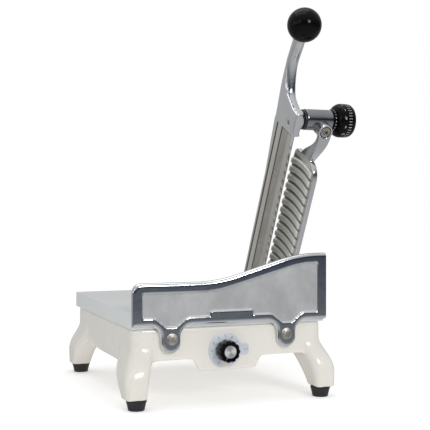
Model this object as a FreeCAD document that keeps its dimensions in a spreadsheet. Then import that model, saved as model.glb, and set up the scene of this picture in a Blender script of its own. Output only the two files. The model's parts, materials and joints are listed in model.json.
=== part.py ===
import FreeCAD, Part
import math
import os
import re

import Sketcher

# Counter-top lever slicer, in millimetres. +X runs to the right along the front fence, +Y to the
# back and +Z up. The origin is on the table, at the centre of the four feet.
# Pieces of the knife arm are drawn in the arm's own frame: its origin is on the hinge axis, its
# local Z runs up the arm, and local -Y points to the cutting edge. The arm leans forward at rest.

SIZES = {
    # board
    "board_half": 114.7, "board_front": 128.0, "board_back": 142.5,
    "board_top": 104.1, "board_thick": 18.1, "board_corner": 6.0, "board_edge": 1.2,
    "board_screw_x": 62.0, "board_screw_y": 90.0, "board_screw_deep": 9.0,
    # cast base
    "body_half": 113.5, "body_front": 128.0, "body_back": 132.0, "body_corner": 12.0,
    "wall": 5.0, "deck_thick": 4.0, "post_wide": 33.5, "post_deep": 66.0,
    "arch_top": 50.0, "arch_end": 96.0, "arch_radius": 9.0,
    "drop_bottom": 36.5, "drop_half": 33.8, "drop_shift": -3.4, "drop_slope": 7.0,
    "side_arch_top": 43.5, "side_arch_end": 108.0,
    # legs
    "leg_out_x": 124.5, "leg_in_x": 99.5, "leg_top_in_x": 80.0,
    "leg_out_y": 143.0, "leg_in_y": 114.5, "leg_top_in_y": 62.0,
    "leg_top": 70.0, "leg_straight": 33.0, "leg_corner": 6.0, "leg_inset": 0.5,
    # feet
    "foot_x": 110.0, "foot_y": 129.7, "foot_high": 11.5, "foot_top_dia": 23.0,
    "foot_low_dia": 18.0, "foot_recess_dia": 10.0, "foot_recess_deep": 5.0,
    "foot_screw_dia": 5.0, "foot_screw_head_dia": 9.0, "foot_screw_head_high": 3.2,
    "foot_screw_long": 20.0,
    # fence
    "fence_half": 115.3, "fence_front": 134.5, "fence_thick": 6.2, "fence_low": 89.0,
    "fence_left_top": 135.8, "fence_right_top": 165.0, "fence_rise_from": -18.0,
    "fence_rise_to": 82.0, "fence_sweep": 170.0, "fence_corner": 10.0, "fence_round": 3.8,
    "ear_left_x": -71.8, "ear_right_x": 66.0, "ear_half": 11.3, "ear_low": 59.0,
    "ear_blend": 13.0, "panel_deep": 1.5, "panel_half": 104.8, "panel_low": 97.0,
    "panel_dip_low": 86.7, "panel_dip_half": 6.0, "panel_dip_wide": 18.5,
    "panel_top_gap": 10.6, "panel_shift": 3.0, "panel_sweep": 119.0,
    "panel_dip_round": 8.0, "panel_round": 3.0, "ear_round": 10.9, "plaque_left": -26.0,
    "plaque_right": 23.5, "plaque_top": 102.7,
    "bolt_high": 74.5, "bolt_dia": 6.0, "bolt_flats": 10.0, "bolt_head": 4.2, "bolt_past": 2.0,
    "nut_flats": 10.0, "nut_thick": 5.0,
    # rotary control
    "dial_x": -7.2, "dial_z": 58.8, "dial_plate_dia": 39.2, "dial_plate_thick": 0.8,
    "dial_mouth": 7.5, "dial_tab_long": 28.5, "dial_tab_half": 6.1, "dial_hole_dia": 11.0,
    "dial_bush_dia": 9.5, "dial_bush_long": 11.0, "dial_shaft_dia": 6.0, "dial_knob_dia": 25.4,
    "dial_knob_long": 12.6, "dial_knob_gap": 0.9, "dial_flutes": 11, "dial_flute_dia": 3.6,
    "dial_cap_dia": 13.8, "dial_cap_thick": 0.8, "control_dia": 30.0, "control_deep": 18.0,
    "dial_nut_flats": 14.0, "dial_nut_thick": 2.5, "dial_tab_root": 13.0, "dial_tab_round": 3.7,
    "dial_throat": 2.8, "dial_face_thick": 3.0, "dial_shaft_short": 4.0, "dial_flute_ring": 26.4,
    "control_floor": 3.0,
    # hinge
    "hinge_y": 115.0, "hinge_z": 71.0, "arm_lean": 28.0, "shaft_dia": 14.0,
    "shaft_left": 3.0, "shaft_right": 137.0, "run_gap": 0.05, "bush_dia": 20.0,
    "bush_flange_dia": 25.0, "bush_flange": 1.6, "boss_left": 24.0, "boss_right": 40.0,
    "boss_half": 14.0, "lever_left": 6.0, "lever_right": 20.0, "lever_hub_dia": 20.8,
    "lever_reach": 30.0, "lever_thick": 8.0, "bumper_dia": 10.0, "bumper_from_hinge": 22.0,
    "bumper_gap": 0.35, "spring_left": 44.0, "spring_right": 78.0, "spring_mean_dia": 17.2,
    "spring_wire": 1.6, "spring_pitch": 2.4, "stop_screw_dia": 6.0, "stop_screw_z": 50.0,
    "stop_screw_tip": 105.3, "stop_screw_flats": 10.0, "stop_screw_head": 4.0,
    "stop_nut_thick": 5.0,
    # knife arm, in the arm's frame
    "arm_left": 116.0, "arm_thick": 10.0, "hub_dia": 28.0, "hub_right": 128.0,
    "arm_spine": 25.0, "arm_bend": 205.0, "arm_web": 17.0, "heel": 2.0, "arm_low": 38.0, "cheek_low": 279.0,
    "cheek_spine": 34.5, "cheek_spine_z": 328.0, "arm_shoulder": 29.0, "shoulder_top": 309.0,
    "shoulder_y": -16.0, "crest_y": -4.0, "crest_z": 314.0, "throat_y": 19.0, "throat_z": 324.0,
    "horn_slim": 1.5, "horn_low": 360.0, "horn_front": 7.3, "horn_front_z": 352.0,
    "horn_back": 7.0, "horn_top": 388.0,
    "knife_thick": 2.0, "knife_edge": 28.0, "knife_back": 1.3, "knife_low": 46.0,
    "knife_bevel": 10.5, "knife_gap": 0.1, "groove_wide": 3.2, "groove_one": 18.6,
    "groove_two": 3.0, "groove_deep": 1.6, "small_screw_dia": 4.0, "knife_sink": 1.2, "knife_land": 0.15,
    "knife_screw_y": -3.6,
    "knife_screw_first": 66.0, "knife_screw_step": 50.0, "knife_screw_long": 7.0,
    "washer_dia": 24.0, "washer_thick": 1.6, "shaft_nut_flats": 19.0, "shaft_nut_thick": 6.0,
    # handle
    "handle_x": 124.0, "handle_dia": 14.0, "ball_x": 125.0, "ball_dia": 42.4, "ball_y": 20.7,
    "ball_z": 406.7, "ball_flat": 19.5, "stud_dia": 8.0, "stud_in_ball": 15.0, "stud_in_bar": 7.0,
    "bar_root_y": -16.0, "bar_root_z": 301.0, "bar_low_y": -1.0, "bar_low_z": 306.5,
    "bar_bend_y": 13.5, "bar_bend_z": 314.0, "bar_mid_y": 23.2, "bar_mid_z": 331.5,
    "bar_back_y": 28.0, "bar_back_z": 355.0, "bar_neck_y": 23.2, "bar_neck_z": 379.0,
    "bar_end_back": 0.7, "bar_over": 12.0,
    # thickness spindle, on the arm
    "spindle_y": -17.0, "spindle_z": 298.0, "spindle_dia": 10.0, "spindle_left": 118.0,
    "spindle_right": 191.5, "boss_dia": 24.0, "boss_face": 130.0, "ring_dia": 25.0,
    "ring_thick": 2.5, "pin_dia": 4.0, "pin_y": -10.0, "pin_z": 304.0, "pin_left": 120.0, "pin_right": 150.0,
    "pin_room": 3.0,
    "lock_dia": 5.0, "lock_deep": 8.0, "lock_y": -9.0, "lock_z": 290.0, "lock_sunk": 0.4,
    "fit_gap": 0.1, "face_gap": 1.5, "overcut": 1.0,
    # slide block
    "block_left": 133.0, "block_right": 168.5, "block_dia": 26.0, "lug_x": 155.0,
    "lug_z": 291.0, "lug_dia": 19.0, "lug_face": -30.3, "eye_thick": 10.0,
    "screw_recess_dia": 14.4, "screw_recess_deep": 6.0, "screw_head_dia": 13.0,
    "screw_head_high": 5.4, "screw_dia": 8.0, "screw_tip": -23.5, "screw_key": 6.0, "screw_key_deep": 4.2,
    "block_counterbore": 6.5, "keeper_dia": 4.0, "keeper_x": 165.3, "keeper_tip_dia": 2.2,
    # gauge plate
    "gauge_face": 138.0, "gauge_right": 147.6, "rib_high": 3.4, "rib_pitch": 12.0,
    "rib_base": 9.6, "rib_draft": 30.0, "rib_count": 16, "gauge_front": -60.0, "gauge_back": 4.5,
    "gauge_low": 46.5, "gauge_top": 252.0, "gauge_corner": 20.0, "gauge_corner_back": 9.0,
    "rib_margin": 3.5, "rib_radius": 120.0, "rib_crown": -36.0, "rib_first": 59.5,
    "neck_low_z": 244.0, "neck_low_left": 142.0, "neck_low_right": 147.0, "neck_low_front": -38.0,
    "neck_low_back": -10.0, "neck_mid_z": 258.0, "neck_mid_left": 142.5, "neck_mid_right": 152.0,
    "neck_mid_front": -42.0, "neck_mid_back": -16.0, "neck_high_z": 272.0, "neck_high_left": 145.0,
    "neck_high_right": 160.0, "neck_high_front": -42.0, "neck_high_back": -30.5, "neck_round": 2.0,
    # graduated knob
    "part_gap": 0.4, "insert_dia": 16.0, "insert_right": 192.5, "insert_groove_dia": 12.6,
    "insert_groove": 3.4, "collar_dia": 27.5, "collar_right": 174.0, "knob_dia": 42.4,
    "knob_right": 198.5, "knob_round_left": 6.0, "knob_round_right": 9.0, "grub_dia": 4.0,
    "grub_x": 185.0, "grub_sunk": 3.0,
}

doc = FreeCAD.newDocument("lever_slicer")
sheet = doc.addObject("Spreadsheet::Sheet", "sizes")
for row, (alias, number) in enumerate(SIZES.items(), start=1):
    sheet.set("A%d" % row, alias)
    sheet.set("B%d" % row, str(number))
    sheet.setAlias("B%d" % row, alias)
doc.recompute()

nodes = []


def bound(text):
    """Write a formula of plain size names as one that reads the spreadsheet."""
    return re.sub(r"[a-z]\w*", lambda word: "sizes." + word[0] if word[0] in SIZES else word[0], text)


def number(text):
    """The present value of a formula of size names."""
    return float(sheet.evalExpression(bound(text)))


def new_body(label, at=("0", "0", "0"), on_arm=False):
    """A body at a place in the row's frame, or in the arm's frame, bound to the sheet."""
    body = doc.addObject("PartDesign::Body", label)
    body.Label = label
    body.AllowCompound = True
    across, along, up = at
    if on_arm:
        body.Placement = FreeCAD.Placement(
            FreeCAD.Vector(), FreeCAD.Rotation(FreeCAD.Vector(1, 0, 0), number("arm_lean")))
        body.setExpression("Placement.Rotation.Angle", bound("arm_lean"))
        turned_y = f"({along}) * cos(arm_lean) - ({up}) * sin(arm_lean)"
        turned_z = f"({along}) * sin(arm_lean) + ({up}) * cos(arm_lean)"
        along = f"hinge_y + {turned_y}"
        up = f"hinge_z + {turned_z}"
    body.setExpression("Placement.Base.x", bound(across))
    body.setExpression("Placement.Base.y", bound(along))
    body.setExpression("Placement.Base.z", bound(up))
    nodes.append(body)
    return body


def new_sketch(body, name, plane, at="0"):
    """A sketch on an origin plane of its body, moved to a coordinate along the plane's axis."""
    sketch = body.newObject("Sketcher::SketchObject", name)
    support = next(f for f in body.Origin.OriginFeatures if f.Role == plane)
    sketch.AttachmentSupport = [(support, "")]
    sketch.MapMode = "FlatFace"
    facing = f"-({at})" if plane == "XZ_Plane" else at
    sketch.setExpression("AttachmentOffset.Base.z", bound(facing))
    return sketch


def pin_point(sketch, geometry, end, place):
    """Tie one point of a sketch to two formulas."""
    for kind, formula in zip(("DistanceX", "DistanceY"), place):
        row = sketch.addConstraint(
            Sketcher.Constraint(kind, -1, 1, geometry, end, number(formula)))
        sketch.setExpression("Constraints[%d]" % row, bound(formula))


def outline(body, name, plane, corners, at="0"):
    """A closed outline of straight lines, each corner given as two formulas."""
    sketch = new_sketch(body, name, plane, at)
    spots = [FreeCAD.Vector(number(u), number(v), 0) for u, v in corners]
    for here, there in zip(spots, spots[1:] + spots[:1]):
        sketch.addGeometry(Part.LineSegment(here, there), False)
    for side in range(len(spots)):
        after = (side + 1) % len(spots)
        sketch.addConstraint(Sketcher.Constraint("Coincident", side, 2, after, 1))
        pin_point(sketch, side, 1, corners[side])
    return sketch


def rings(body, name, plane, circles, at="0"):
    """Circles, each given as the formulas of its centre and of its diameter."""
    sketch = new_sketch(body, name, plane, at)
    for row, (u, v, across) in enumerate(circles):
        centre = FreeCAD.Vector(number(u), number(v), 0)
        sketch.addGeometry(Part.Circle(centre, FreeCAD.Vector(0, 0, 1), number(across) / 2), False)
        pin_point(sketch, row, 3, (u, v))
        size = sketch.addConstraint(Sketcher.Constraint("Diameter", row, number(across)))
        sketch.setExpression("Constraints[%d]" % size, bound(across))
    return sketch


def hexagon(body, name, plane, centres, flats, at="0"):
    """Hexagons of one width across flats, about the given centres."""
    sketch = new_sketch(body, name, plane, at)
    for u, v in centres:
        first = sketch.GeometryCount
        corners = []
        for turn in range(6):
            angle = 60 * turn + 30
            reach = f"({flats}) / 2 / cos(30)"
            corners.append((f"{u} + {reach} * cos({angle})", f"{v} + {reach} * sin({angle})"))
        spots = [FreeCAD.Vector(number(a), number(b), 0) for a, b in corners]
        for here, there in zip(spots, spots[1:] + spots[:1]):
            sketch.addGeometry(Part.LineSegment(here, there), False)
        for side in range(6):
            after = (side + 1) % 6
            sketch.addConstraint(Sketcher.Constraint("Coincident", first + side, 2, first + after, 1))
            pin_point(sketch, first + side, 1, corners[side])
    return sketch


def rounded_box(body, name, low, high, radius, at):
    """A rectangle with round corners on the XY plane, from two corners and a radius."""
    sketch = new_sketch(body, name, "XY_Plane", at)
    (left, near), (right, far) = low, high
    ends = [
        (f"{left} + {radius}", near), (f"{right} - {radius}", near),
        (right, f"{near} + {radius}"), (right, f"{far} - {radius}"),
        (f"{right} - {radius}", far), (f"{left} + {radius}", far),
        (left, f"{far} - {radius}"), (left, f"{near} + {radius}"),
    ]
    spots = [FreeCAD.Vector(number(u), number(v), 0) for u, v in ends]
    size = number(radius)
    turns = [(1, 2, -90), (3, 4, 0), (5, 6, 90), (7, 0, 180)]
    middles = [(-1, 1), (-1, -1), (1, -1), (1, 1)]
    for start, stop, from_angle in turns:
        sketch.addGeometry(Part.LineSegment(spots[start - 1], spots[start]), False)
        side = (start - 1) // 2
        turn_x, turn_y = middles[side]
        hub = FreeCAD.Vector(
            spots[start].x + (0 if side in (0, 2) else turn_x * size),
            spots[start].y + (turn_y * size if side in (0, 2) else 0), 0)
        circle = Part.Circle(hub, FreeCAD.Vector(0, 0, 1), size)
        begin = math.radians(from_angle)
        sketch.addGeometry(Part.ArcOfCircle(circle, begin, begin + math.pi / 2), False)
    for side in range(4):
        line = 2 * side
        arc = line + 1
        after = (line + 2) % 8
        sketch.addConstraint(Sketcher.Constraint("Tangent", line, 2, arc, 1))
        sketch.addConstraint(Sketcher.Constraint("Coincident", arc, 2, after, 1))
        pin_point(sketch, line, 1, ends[(2 * side)])
        pin_point(sketch, line, 2, ends[(2 * side + 1)])
    return sketch


def finish_feature(body, feature, grows):
    """Recompute, and make sure that the feature changed the body the way it should."""
    before = 0 if body.Shape.isNull() else body.Shape.Volume
    doc.recompute()
    after = 0 if body.Shape.isNull() else body.Shape.Volume
    good = after > before + 1e-6 if grows else after < before - 1e-6
    if not good:
        raise ValueError("%s did not change %s" % (feature.Label, body.Label))
    return feature


def pad(body, sketch, long, against=False):
    """Extrude along the plane's normal, or against it."""
    feature = body.newObject("PartDesign::Pad", sketch.Name + "_pad")
    feature.Profile = sketch
    feature.setExpression("Length", bound(long))
    feature.Reversed = against
    sketch.Visibility = False
    return finish_feature(body, feature, True)


def pocket(body, sketch, deep, along=True):
    """Cut along the plane's normal, or against it."""
    feature = body.newObject("PartDesign::Pocket", sketch.Name + "_cut")
    feature.Profile = sketch
    feature.setExpression("Length", bound(deep))
    feature.Reversed = along
    return finish_feature(body, feature, False)


def turn(body, sketch, axis, groove=False):
    """Revolve a half profile about an axis of its sketch, adding or cutting."""
    kind = "PartDesign::Groove" if groove else "PartDesign::Revolution"
    feature = body.newObject(kind, sketch.Name + "_turn")
    feature.Profile = sketch
    feature.ReferenceAxis = (sketch, [axis])
    feature.Angle = 360
    return finish_feature(body, feature, not groove)


def edges_where(body, test):
    """Names of the body's edges that pass a test, in the body's own frame."""
    shape = body.Tip.Shape
    return ["Edge%d" % (row + 1) for row, edge in enumerate(shape.Edges) if test(edge)]


def spot_on(edge, axis, place, near=0.05):
    """True for an edge along one axis that passes through a point of the other two."""
    start = edge.Vertexes[0].Point
    stop = edge.Vertexes[-1].Point
    free = "XYZ".index(axis)
    fixed = [row for row in range(3) if row != free]
    straight = all(abs(start[row] - stop[row]) < near for row in fixed)
    here = all(abs(start[row] - place[side]) < near for side, row in enumerate(fixed))
    return straight and here and abs(start[free] - stop[free]) > near


def soften(body, kind, names, size):
    """Fillet or chamfer the named edges of the body's last feature."""
    feature = body.newObject("PartDesign::" + kind, kind.lower() + "_%d" % len(body.Group))
    feature.Base = (body.Group[-2], names)
    feature.setExpression("Radius" if kind == "Fillet" else "Size", bound(size))
    doc.recompute()
    if not feature.isValid():
        raise ValueError("%s: %s of %s failed" % (body.Label, kind, size))
    return feature


def round_corners(body, axis, corners, size):
    """Fillet the edges that run along an axis through the given corners."""
    places = [(number(u), number(v)) for u, v in corners]
    names = edges_where(body, lambda edge: any(spot_on(edge, axis, place) for place in places))
    if len(names) < len(places):
        raise ValueError("%s: %d corners, %d edges" % (body.Label, len(places), len(names)))
    return soften(body, "Fillet", names, size)


def rod(label, start, stop, across, at=("0", "0", "0"), on_arm=False, plane="YZ_Plane"):
    """A plain round bar between two coordinates along the axis square to its plane."""
    body = new_body(label, at, on_arm)
    against = plane == "XZ_Plane"
    pad(body, rings(body, label + "_end", plane, [("0", "0", across)], start),
        f"({stop}) - ({start})", against)
    return body


def bore(body, name, plane, circles, start, stop):
    """Round holes between two coordinates along the axis square to the plane."""
    sketch = rings(body, name, plane, circles, start)
    return pocket(body, sketch, f"({stop}) - ({start})", plane != "XZ_Plane")


# ---------------------------------------------------------------- base


def leg_section(body, name, side_x, side_y, share):
    """One round-cornered section of a leg; share is 0 at the foot and 1 under the body."""
    height = f"foot_high + (leg_top - foot_high) * {share:g}"
    body_y = "body_front" if side_y < 0 else "body_back"
    splay = f"min(1; max(0; (leg_top - ({height})) / (leg_top - leg_straight)))"
    ease = f"(1 - cos(180 * {splay})) / 2"
    out_x = f"body_half - leg_inset + (leg_out_x - body_half + leg_inset) * {ease}"
    out_y = f"{body_y} - leg_inset + (leg_out_y - {body_y} + leg_inset) * {ease}"
    in_x = f"leg_in_x - (leg_in_x - leg_top_in_x) * {share:g} * {share:g}"
    in_y = f"leg_in_y - (leg_in_y - leg_top_in_y) * {share:g}"
    corner = f"leg_corner + (body_corner - leg_corner) * {share:g}"
    low_x, high_x = (in_x, out_x) if side_x > 0 else (f"-({out_x})", f"-({in_x})")
    low_y, high_y = (in_y, out_y) if side_y > 0 else (f"-({out_y})", f"-({in_y})")
    return rounded_box(body, name, (f"({low_x})", f"({low_y})"), (f"({high_x})", f"({high_y})"),
                       f"({corner})", height)


def add_leg(body, name, side_x, side_y):
    """A leg that splays out from under the body and stands straight on its foot."""
    shares = [0, 0.2, 0.4, 0.6, 0.8, 1]
    sections = [leg_section(body, f"{name}_{row}", side_x, side_y, share)
                for row, share in enumerate(shares)]
    loft = body.newObject("PartDesign::AdditiveLoft", name + "_loft")
    loft.Profile = sections[0]
    loft.Sections = sections[1:]
    return finish_feature(body, loft, True)


legs = {"front_left": (-1, -1), "front_right": (1, -1), "rear_left": (-1, 1), "rear_right": (1, 1)}

deck_top = "board_top - board_thick"
deck_low = f"{deck_top} - deck_thick"
drop_left = "drop_shift - drop_half"
drop_right = "drop_shift + drop_half"
inner_half = "body_half - wall"
stop_x = "(lever_left + lever_right) / 2"
bolt_places = [("ear_left_x", "bolt_high"), ("ear_right_x", "bolt_high")]

base = new_body("base_casting")
block = rounded_box(base, "plan", ("-body_half", "-body_front"), ("body_half", "body_back"),
                    "body_corner", "drop_bottom")
pad(base, block, f"{deck_top} - drop_bottom")

# arches under the front and the back walls, and under the side walls
for name, near, far in (("left", "-arch_end", drop_left), ("right", "arch_end", drop_right)):
    lean = "-drop_slope" if name == "left" else "drop_slope"
    arch = outline(base, f"arch_{name}", "XZ_Plane", [
        (near, "drop_bottom - overcut"), (near, "arch_top"), (f"{far} + {lean}", "arch_top"),
        (far, "drop_bottom"), (far, "drop_bottom - overcut"),
    ], "-body_front - overcut")
    pocket(base, arch, "body_front + body_back + 2 * overcut", False)
    round_corners(base, "Y", [(near, "arch_top")], "arch_radius")
side_arch = outline(base, "side_arch", "YZ_Plane", [
    ("-side_arch_end", "drop_bottom - overcut"), ("-side_arch_end", "side_arch_top"),
    ("side_arch_end", "side_arch_top"), ("side_arch_end", "drop_bottom - overcut"),
], "-body_half - overcut")
pocket(base, side_arch, "2 * body_half + 2 * overcut")

# hollow underside, with a solid post left in each corner
post_x = "body_half - post_wide"
hollow = []
for side_y, edge_y, post_y in (("-", "body_front - wall", "body_front - post_deep"),
                               ("", "body_back - wall", "body_back - post_deep")):
    row = [(f"-({inner_half})", f"{side_y}({post_y})"), (f"-({post_x})", f"{side_y}({post_y})"),
           (f"-({post_x})", f"{side_y}({edge_y})")]
    mirrored = [(u[2:-1], v) for u, v in reversed(row)]
    hollow += row + mirrored if side_y else [(u, v) for u, v in reversed(row + mirrored)]
cavity = outline(base, "cavity", "XY_Plane", hollow, "drop_bottom - overcut")
pocket(base, cavity, f"{deck_low} - drop_bottom + overcut")

for name, (side_x, side_y) in legs.items():
    add_leg(base, "leg_" + name, side_x, side_y)

# bearing rib inside the back wall, and the bores for both hinge bushings
rib = outline(base, "bearing_rib", "YZ_Plane", [
    ("hinge_y - boss_half", "hinge_z - boss_half"),
    ("body_back - wall + overcut", "hinge_z - boss_half"),
    ("body_back - wall + overcut", f"{deck_low} + overcut"),
    ("hinge_y - boss_half", f"{deck_low} + overcut"),
], "boss_left")
pad(base, rib, "boss_right - boss_left")
bore(base, "bearing_bores", "YZ_Plane", [("hinge_y", "hinge_z", "bush_dia")],
     "boss_left - overcut", "body_half + overcut")

bore(base, "flange_face", "YZ_Plane", [("hinge_y", "hinge_z", "hub_dia + 2 * face_gap")],
     "body_half", "leg_out_x + overcut")

# screw holes
foot_places = [(f"{'-' if x < 0 else ''}foot_x", f"{'-' if y < 0 else ''}foot_y")
               for x, y in legs.values()]
bore(base, "foot_holes", "XY_Plane", [(x, y, "foot_screw_dia") for x, y in foot_places],
     "foot_high - overcut", "foot_recess_deep + foot_screw_long")
board_screw_places = [(x, y) for x in ("-board_screw_x", "board_screw_x")
                      for y in ("-board_screw_y", "board_screw_y")]
bore(base, "board_screw_holes", "XY_Plane",
     [(x, y, "small_screw_dia + 2 * fit_gap") for x, y in board_screw_places],
     f"{deck_low} - overcut", f"{deck_top} + overcut")
bore(base, "fence_bolt_holes", "XZ_Plane", [(x, z, "bolt_dia + 2 * fit_gap") for x, z in bolt_places],
     "-body_front - overcut", "-body_front + wall + overcut")
bore(base, "dial_hole", "XZ_Plane", [("dial_x", "dial_z", "dial_bush_dia + 2 * fit_gap")],
     "-body_front - overcut", "-body_front + wall + overcut")
bore(base, "stop_hole", "XZ_Plane", [(stop_x, "stop_screw_z", "stop_screw_dia + 2 * fit_gap")],
     "body_back - wall - overcut", "body_back + overcut")

# rubber feet, each with a screw up into its leg
for name, (x, y) in zip(legs, foot_places):
    foot = new_body("foot_" + name, (x, y, "0"))
    profile = outline(foot, f"foot_{name}_half", "XZ_Plane", [
        ("foot_screw_dia / 2", "foot_recess_deep"), ("foot_recess_dia / 2", "foot_recess_deep"),
        ("foot_recess_dia / 2", "0"), ("foot_low_dia / 2", "0"),
        ("foot_top_dia / 2", "foot_high"), ("foot_screw_dia / 2", "foot_high"),
    ])
    turn(foot, profile, "V_Axis")

foot_screws = new_body("foot_screws")
pad(foot_screws, rings(foot_screws, "foot_screw_heads", "XY_Plane",
                       [(x, y, "foot_screw_head_dia") for x, y in foot_places],
                       "foot_recess_deep - foot_screw_head_high"), "foot_screw_head_high")
pad(foot_screws, rings(foot_screws, "foot_screw_shanks", "XY_Plane",
                       [(x, y, "foot_screw_dia") for x, y in foot_places],
                       "foot_recess_deep"), "foot_screw_long")

# ---------------------------------------------------------------- board

board = new_body("cutting_board")
plan = outline(board, "board_plan", "XY_Plane", [
    ("-board_half", "-board_front"), ("board_half", "-board_front"),
    ("board_half", "board_back"), ("-board_half", "board_back"),
], deck_top)
pad(board, plan, "board_thick")
round_corners(board, "Z", [("-board_half", "board_back"), ("board_half", "board_back")],
              "board_corner")
rim = edges_where(board, lambda edge: all(abs(v.Z - number("board_top")) < 0.01
                                          for v in edge.Vertexes))
soften(board, "Fillet", rim, "board_edge")
bore(board, "board_pilots", "XY_Plane", [(x, y, "small_screw_dia") for x, y in board_screw_places],
     f"{deck_top} - overcut", f"{deck_top} + board_screw_deep")

board_screws = new_body("board_screws")
pad(board_screws, rings(board_screws, "board_screw_heads", "XY_Plane",
                        [(x, y, "small_screw_dia * 2") for x, y in board_screw_places],
                        f"{deck_low} - small_screw_dia / 2"), "small_screw_dia / 2")
pad(board_screws, rings(board_screws, "board_screw_shanks", "XY_Plane",
                        [(x, y, "small_screw_dia") for x, y in board_screw_places], deck_low),
    "deck_thick + board_screw_deep")

# ---------------------------------------------------------------- fence

fence = new_body("front_fence")
shape = [("-fence_half", "fence_low")]
for ear in ("ear_left_x", "ear_right_x"):
    shape += [(f"{ear} - ear_half", "fence_low"), (f"{ear} - ear_half", "ear_low"),
              (f"{ear} + ear_half", "ear_low"), (f"{ear} + ear_half", "fence_low")]
shape += [("fence_half", "fence_low"), ("fence_half", "fence_right_top"),
          ("fence_rise_to", "fence_right_top"), ("fence_rise_from", "fence_left_top"),
          ("-fence_half", "fence_left_top")]
pad(fence, outline(fence, "fence_face", "XZ_Plane", shape, "-fence_front"), "fence_thick", True)
round_corners(fence, "Y", [("fence_rise_to", "fence_right_top"),
                           ("fence_rise_from", "fence_left_top")], "fence_sweep")
round_corners(fence, "Y", [("-fence_half", "fence_left_top")], "fence_corner")
ear_sides = [(f"{ear} {sign} ear_half", level) for ear in ("ear_left_x", "ear_right_x")
             for sign in "-+" for level in ("ear_low", "fence_low")]
round_corners(fence, "Y", [place for place in ear_sides if place[1] == "fence_low"], "ear_blend")
round_corners(fence, "Y", [place for place in ear_sides if place[1] == "ear_low"],
              "ear_round")
face_y = number("-fence_front")
end_x = number("fence_half")
front_rim = edges_where(fence, lambda edge: all(abs(v.Y - face_y) < 0.01 for v in edge.Vertexes)
                        and not all(abs(v.X - end_x) < 0.01 for v in edge.Vertexes))
soften(fence, "Fillet", front_rim, "fence_round")

# recessed panel: its outline follows the fence, dips into both ears and steps round the plaque
panel = [("-panel_half", "panel_low")]
for ear in ("ear_left_x", "ear_right_x"):
    panel += [(f"{ear} - panel_dip_wide", "panel_low"), (f"{ear} - panel_dip_half", "panel_dip_low"),
              (f"{ear} + panel_dip_half", "panel_dip_low"), (f"{ear} + panel_dip_wide", "panel_low")]
    if ear == "ear_left_x":
        panel += [("plaque_left", "panel_low"), ("plaque_left", "plaque_top"),
                  ("plaque_right", "plaque_top"), ("plaque_right", "panel_low")]
panel += [("panel_half", "panel_low"), ("panel_half", "fence_right_top - panel_top_gap"),
          ("fence_rise_to + panel_shift", "fence_right_top - panel_top_gap"),
          ("fence_rise_from - panel_shift", "fence_left_top - panel_top_gap"),
          ("-panel_half", "fence_left_top - panel_top_gap")]
recess = outline(fence, "panel_outline", "XZ_Plane", panel, "-fence_front")
pocket(fence, recess, "panel_deep", False)
round_corners(fence, "Y", panel[-3:-1], "panel_sweep")
round_corners(fence, "Y", [panel[1], panel[4], panel[9], panel[12]], "panel_dip_round")
round_corners(fence, "Y", [panel[0], panel[-1], panel[13], panel[14]], "panel_round")
bore(fence, "ear_holes", "XZ_Plane", [(x, z, "bolt_dia + 2 * fit_gap") for x, z in bolt_places],
     "-fence_front - overcut", "-body_front + overcut")

# the left bolt and the right bolt pass through the ears and the front wall into nuts
bolts = new_body("fence_bolts")
pad(bolts, hexagon(bolts, "bolt_heads", "XZ_Plane", bolt_places, "bolt_flats",
                   "-fence_front - bolt_head"), "bolt_head", True)
pad(bolts, rings(bolts, "bolt_shanks", "XZ_Plane", [(x, z, "bolt_dia") for x, z in bolt_places],
                 "-fence_front"), "fence_front - body_front + wall + nut_thick + bolt_past", True)
nuts = new_body("fence_nuts")
pad(nuts, hexagon(nuts, "nut_flats", "XZ_Plane", bolt_places, "nut_flats",
                  "-body_front + wall"), "nut_thick", True)
bore(nuts, "nut_threads", "XZ_Plane", [(x, z, "bolt_dia") for x, z in bolt_places],
     "-body_front + wall - overcut", "-body_front + wall + nut_thick + overcut")

# ---------------------------------------------------------------- rotary control

dial_at = ("dial_x", "-body_front", "dial_z")
plate = new_body("dial_plate", dial_at)
pad(plate, rings(plate, "scale_disc", "XZ_Plane", [("0", "0", "dial_plate_dia")],
                 "-dial_plate_thick"), "dial_plate_thick", True)
tab = outline(plate, "scale_tab", "XZ_Plane", [
    ("dial_tab_root", "-dial_tab_half"), ("dial_tab_long", "-dial_tab_half"),
    ("dial_tab_long", "dial_tab_half"), ("dial_tab_root", "dial_tab_half"),
], "-dial_plate_thick")
pad(plate, tab, "dial_plate_thick", True)
round_corners(plate, "Y", [("dial_tab_long", "-dial_tab_half"), ("dial_tab_long", "dial_tab_half")],
              "dial_tab_round")
mouth = outline(plate, "scale_mouth", "XZ_Plane", [
    ("-dial_throat", "0"), ("-dial_mouth", "-dial_plate_dia"),
    ("dial_mouth", "-dial_plate_dia"), ("dial_throat", "0"),
], "-dial_plate_thick - overcut")
pocket(plate, mouth, "dial_plate_thick + 2 * overcut", False)
bore(plate, "scale_hole", "XZ_Plane", [("0", "0", "dial_hole_dia")],
     "-dial_plate_thick - overcut", "overcut")

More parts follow.
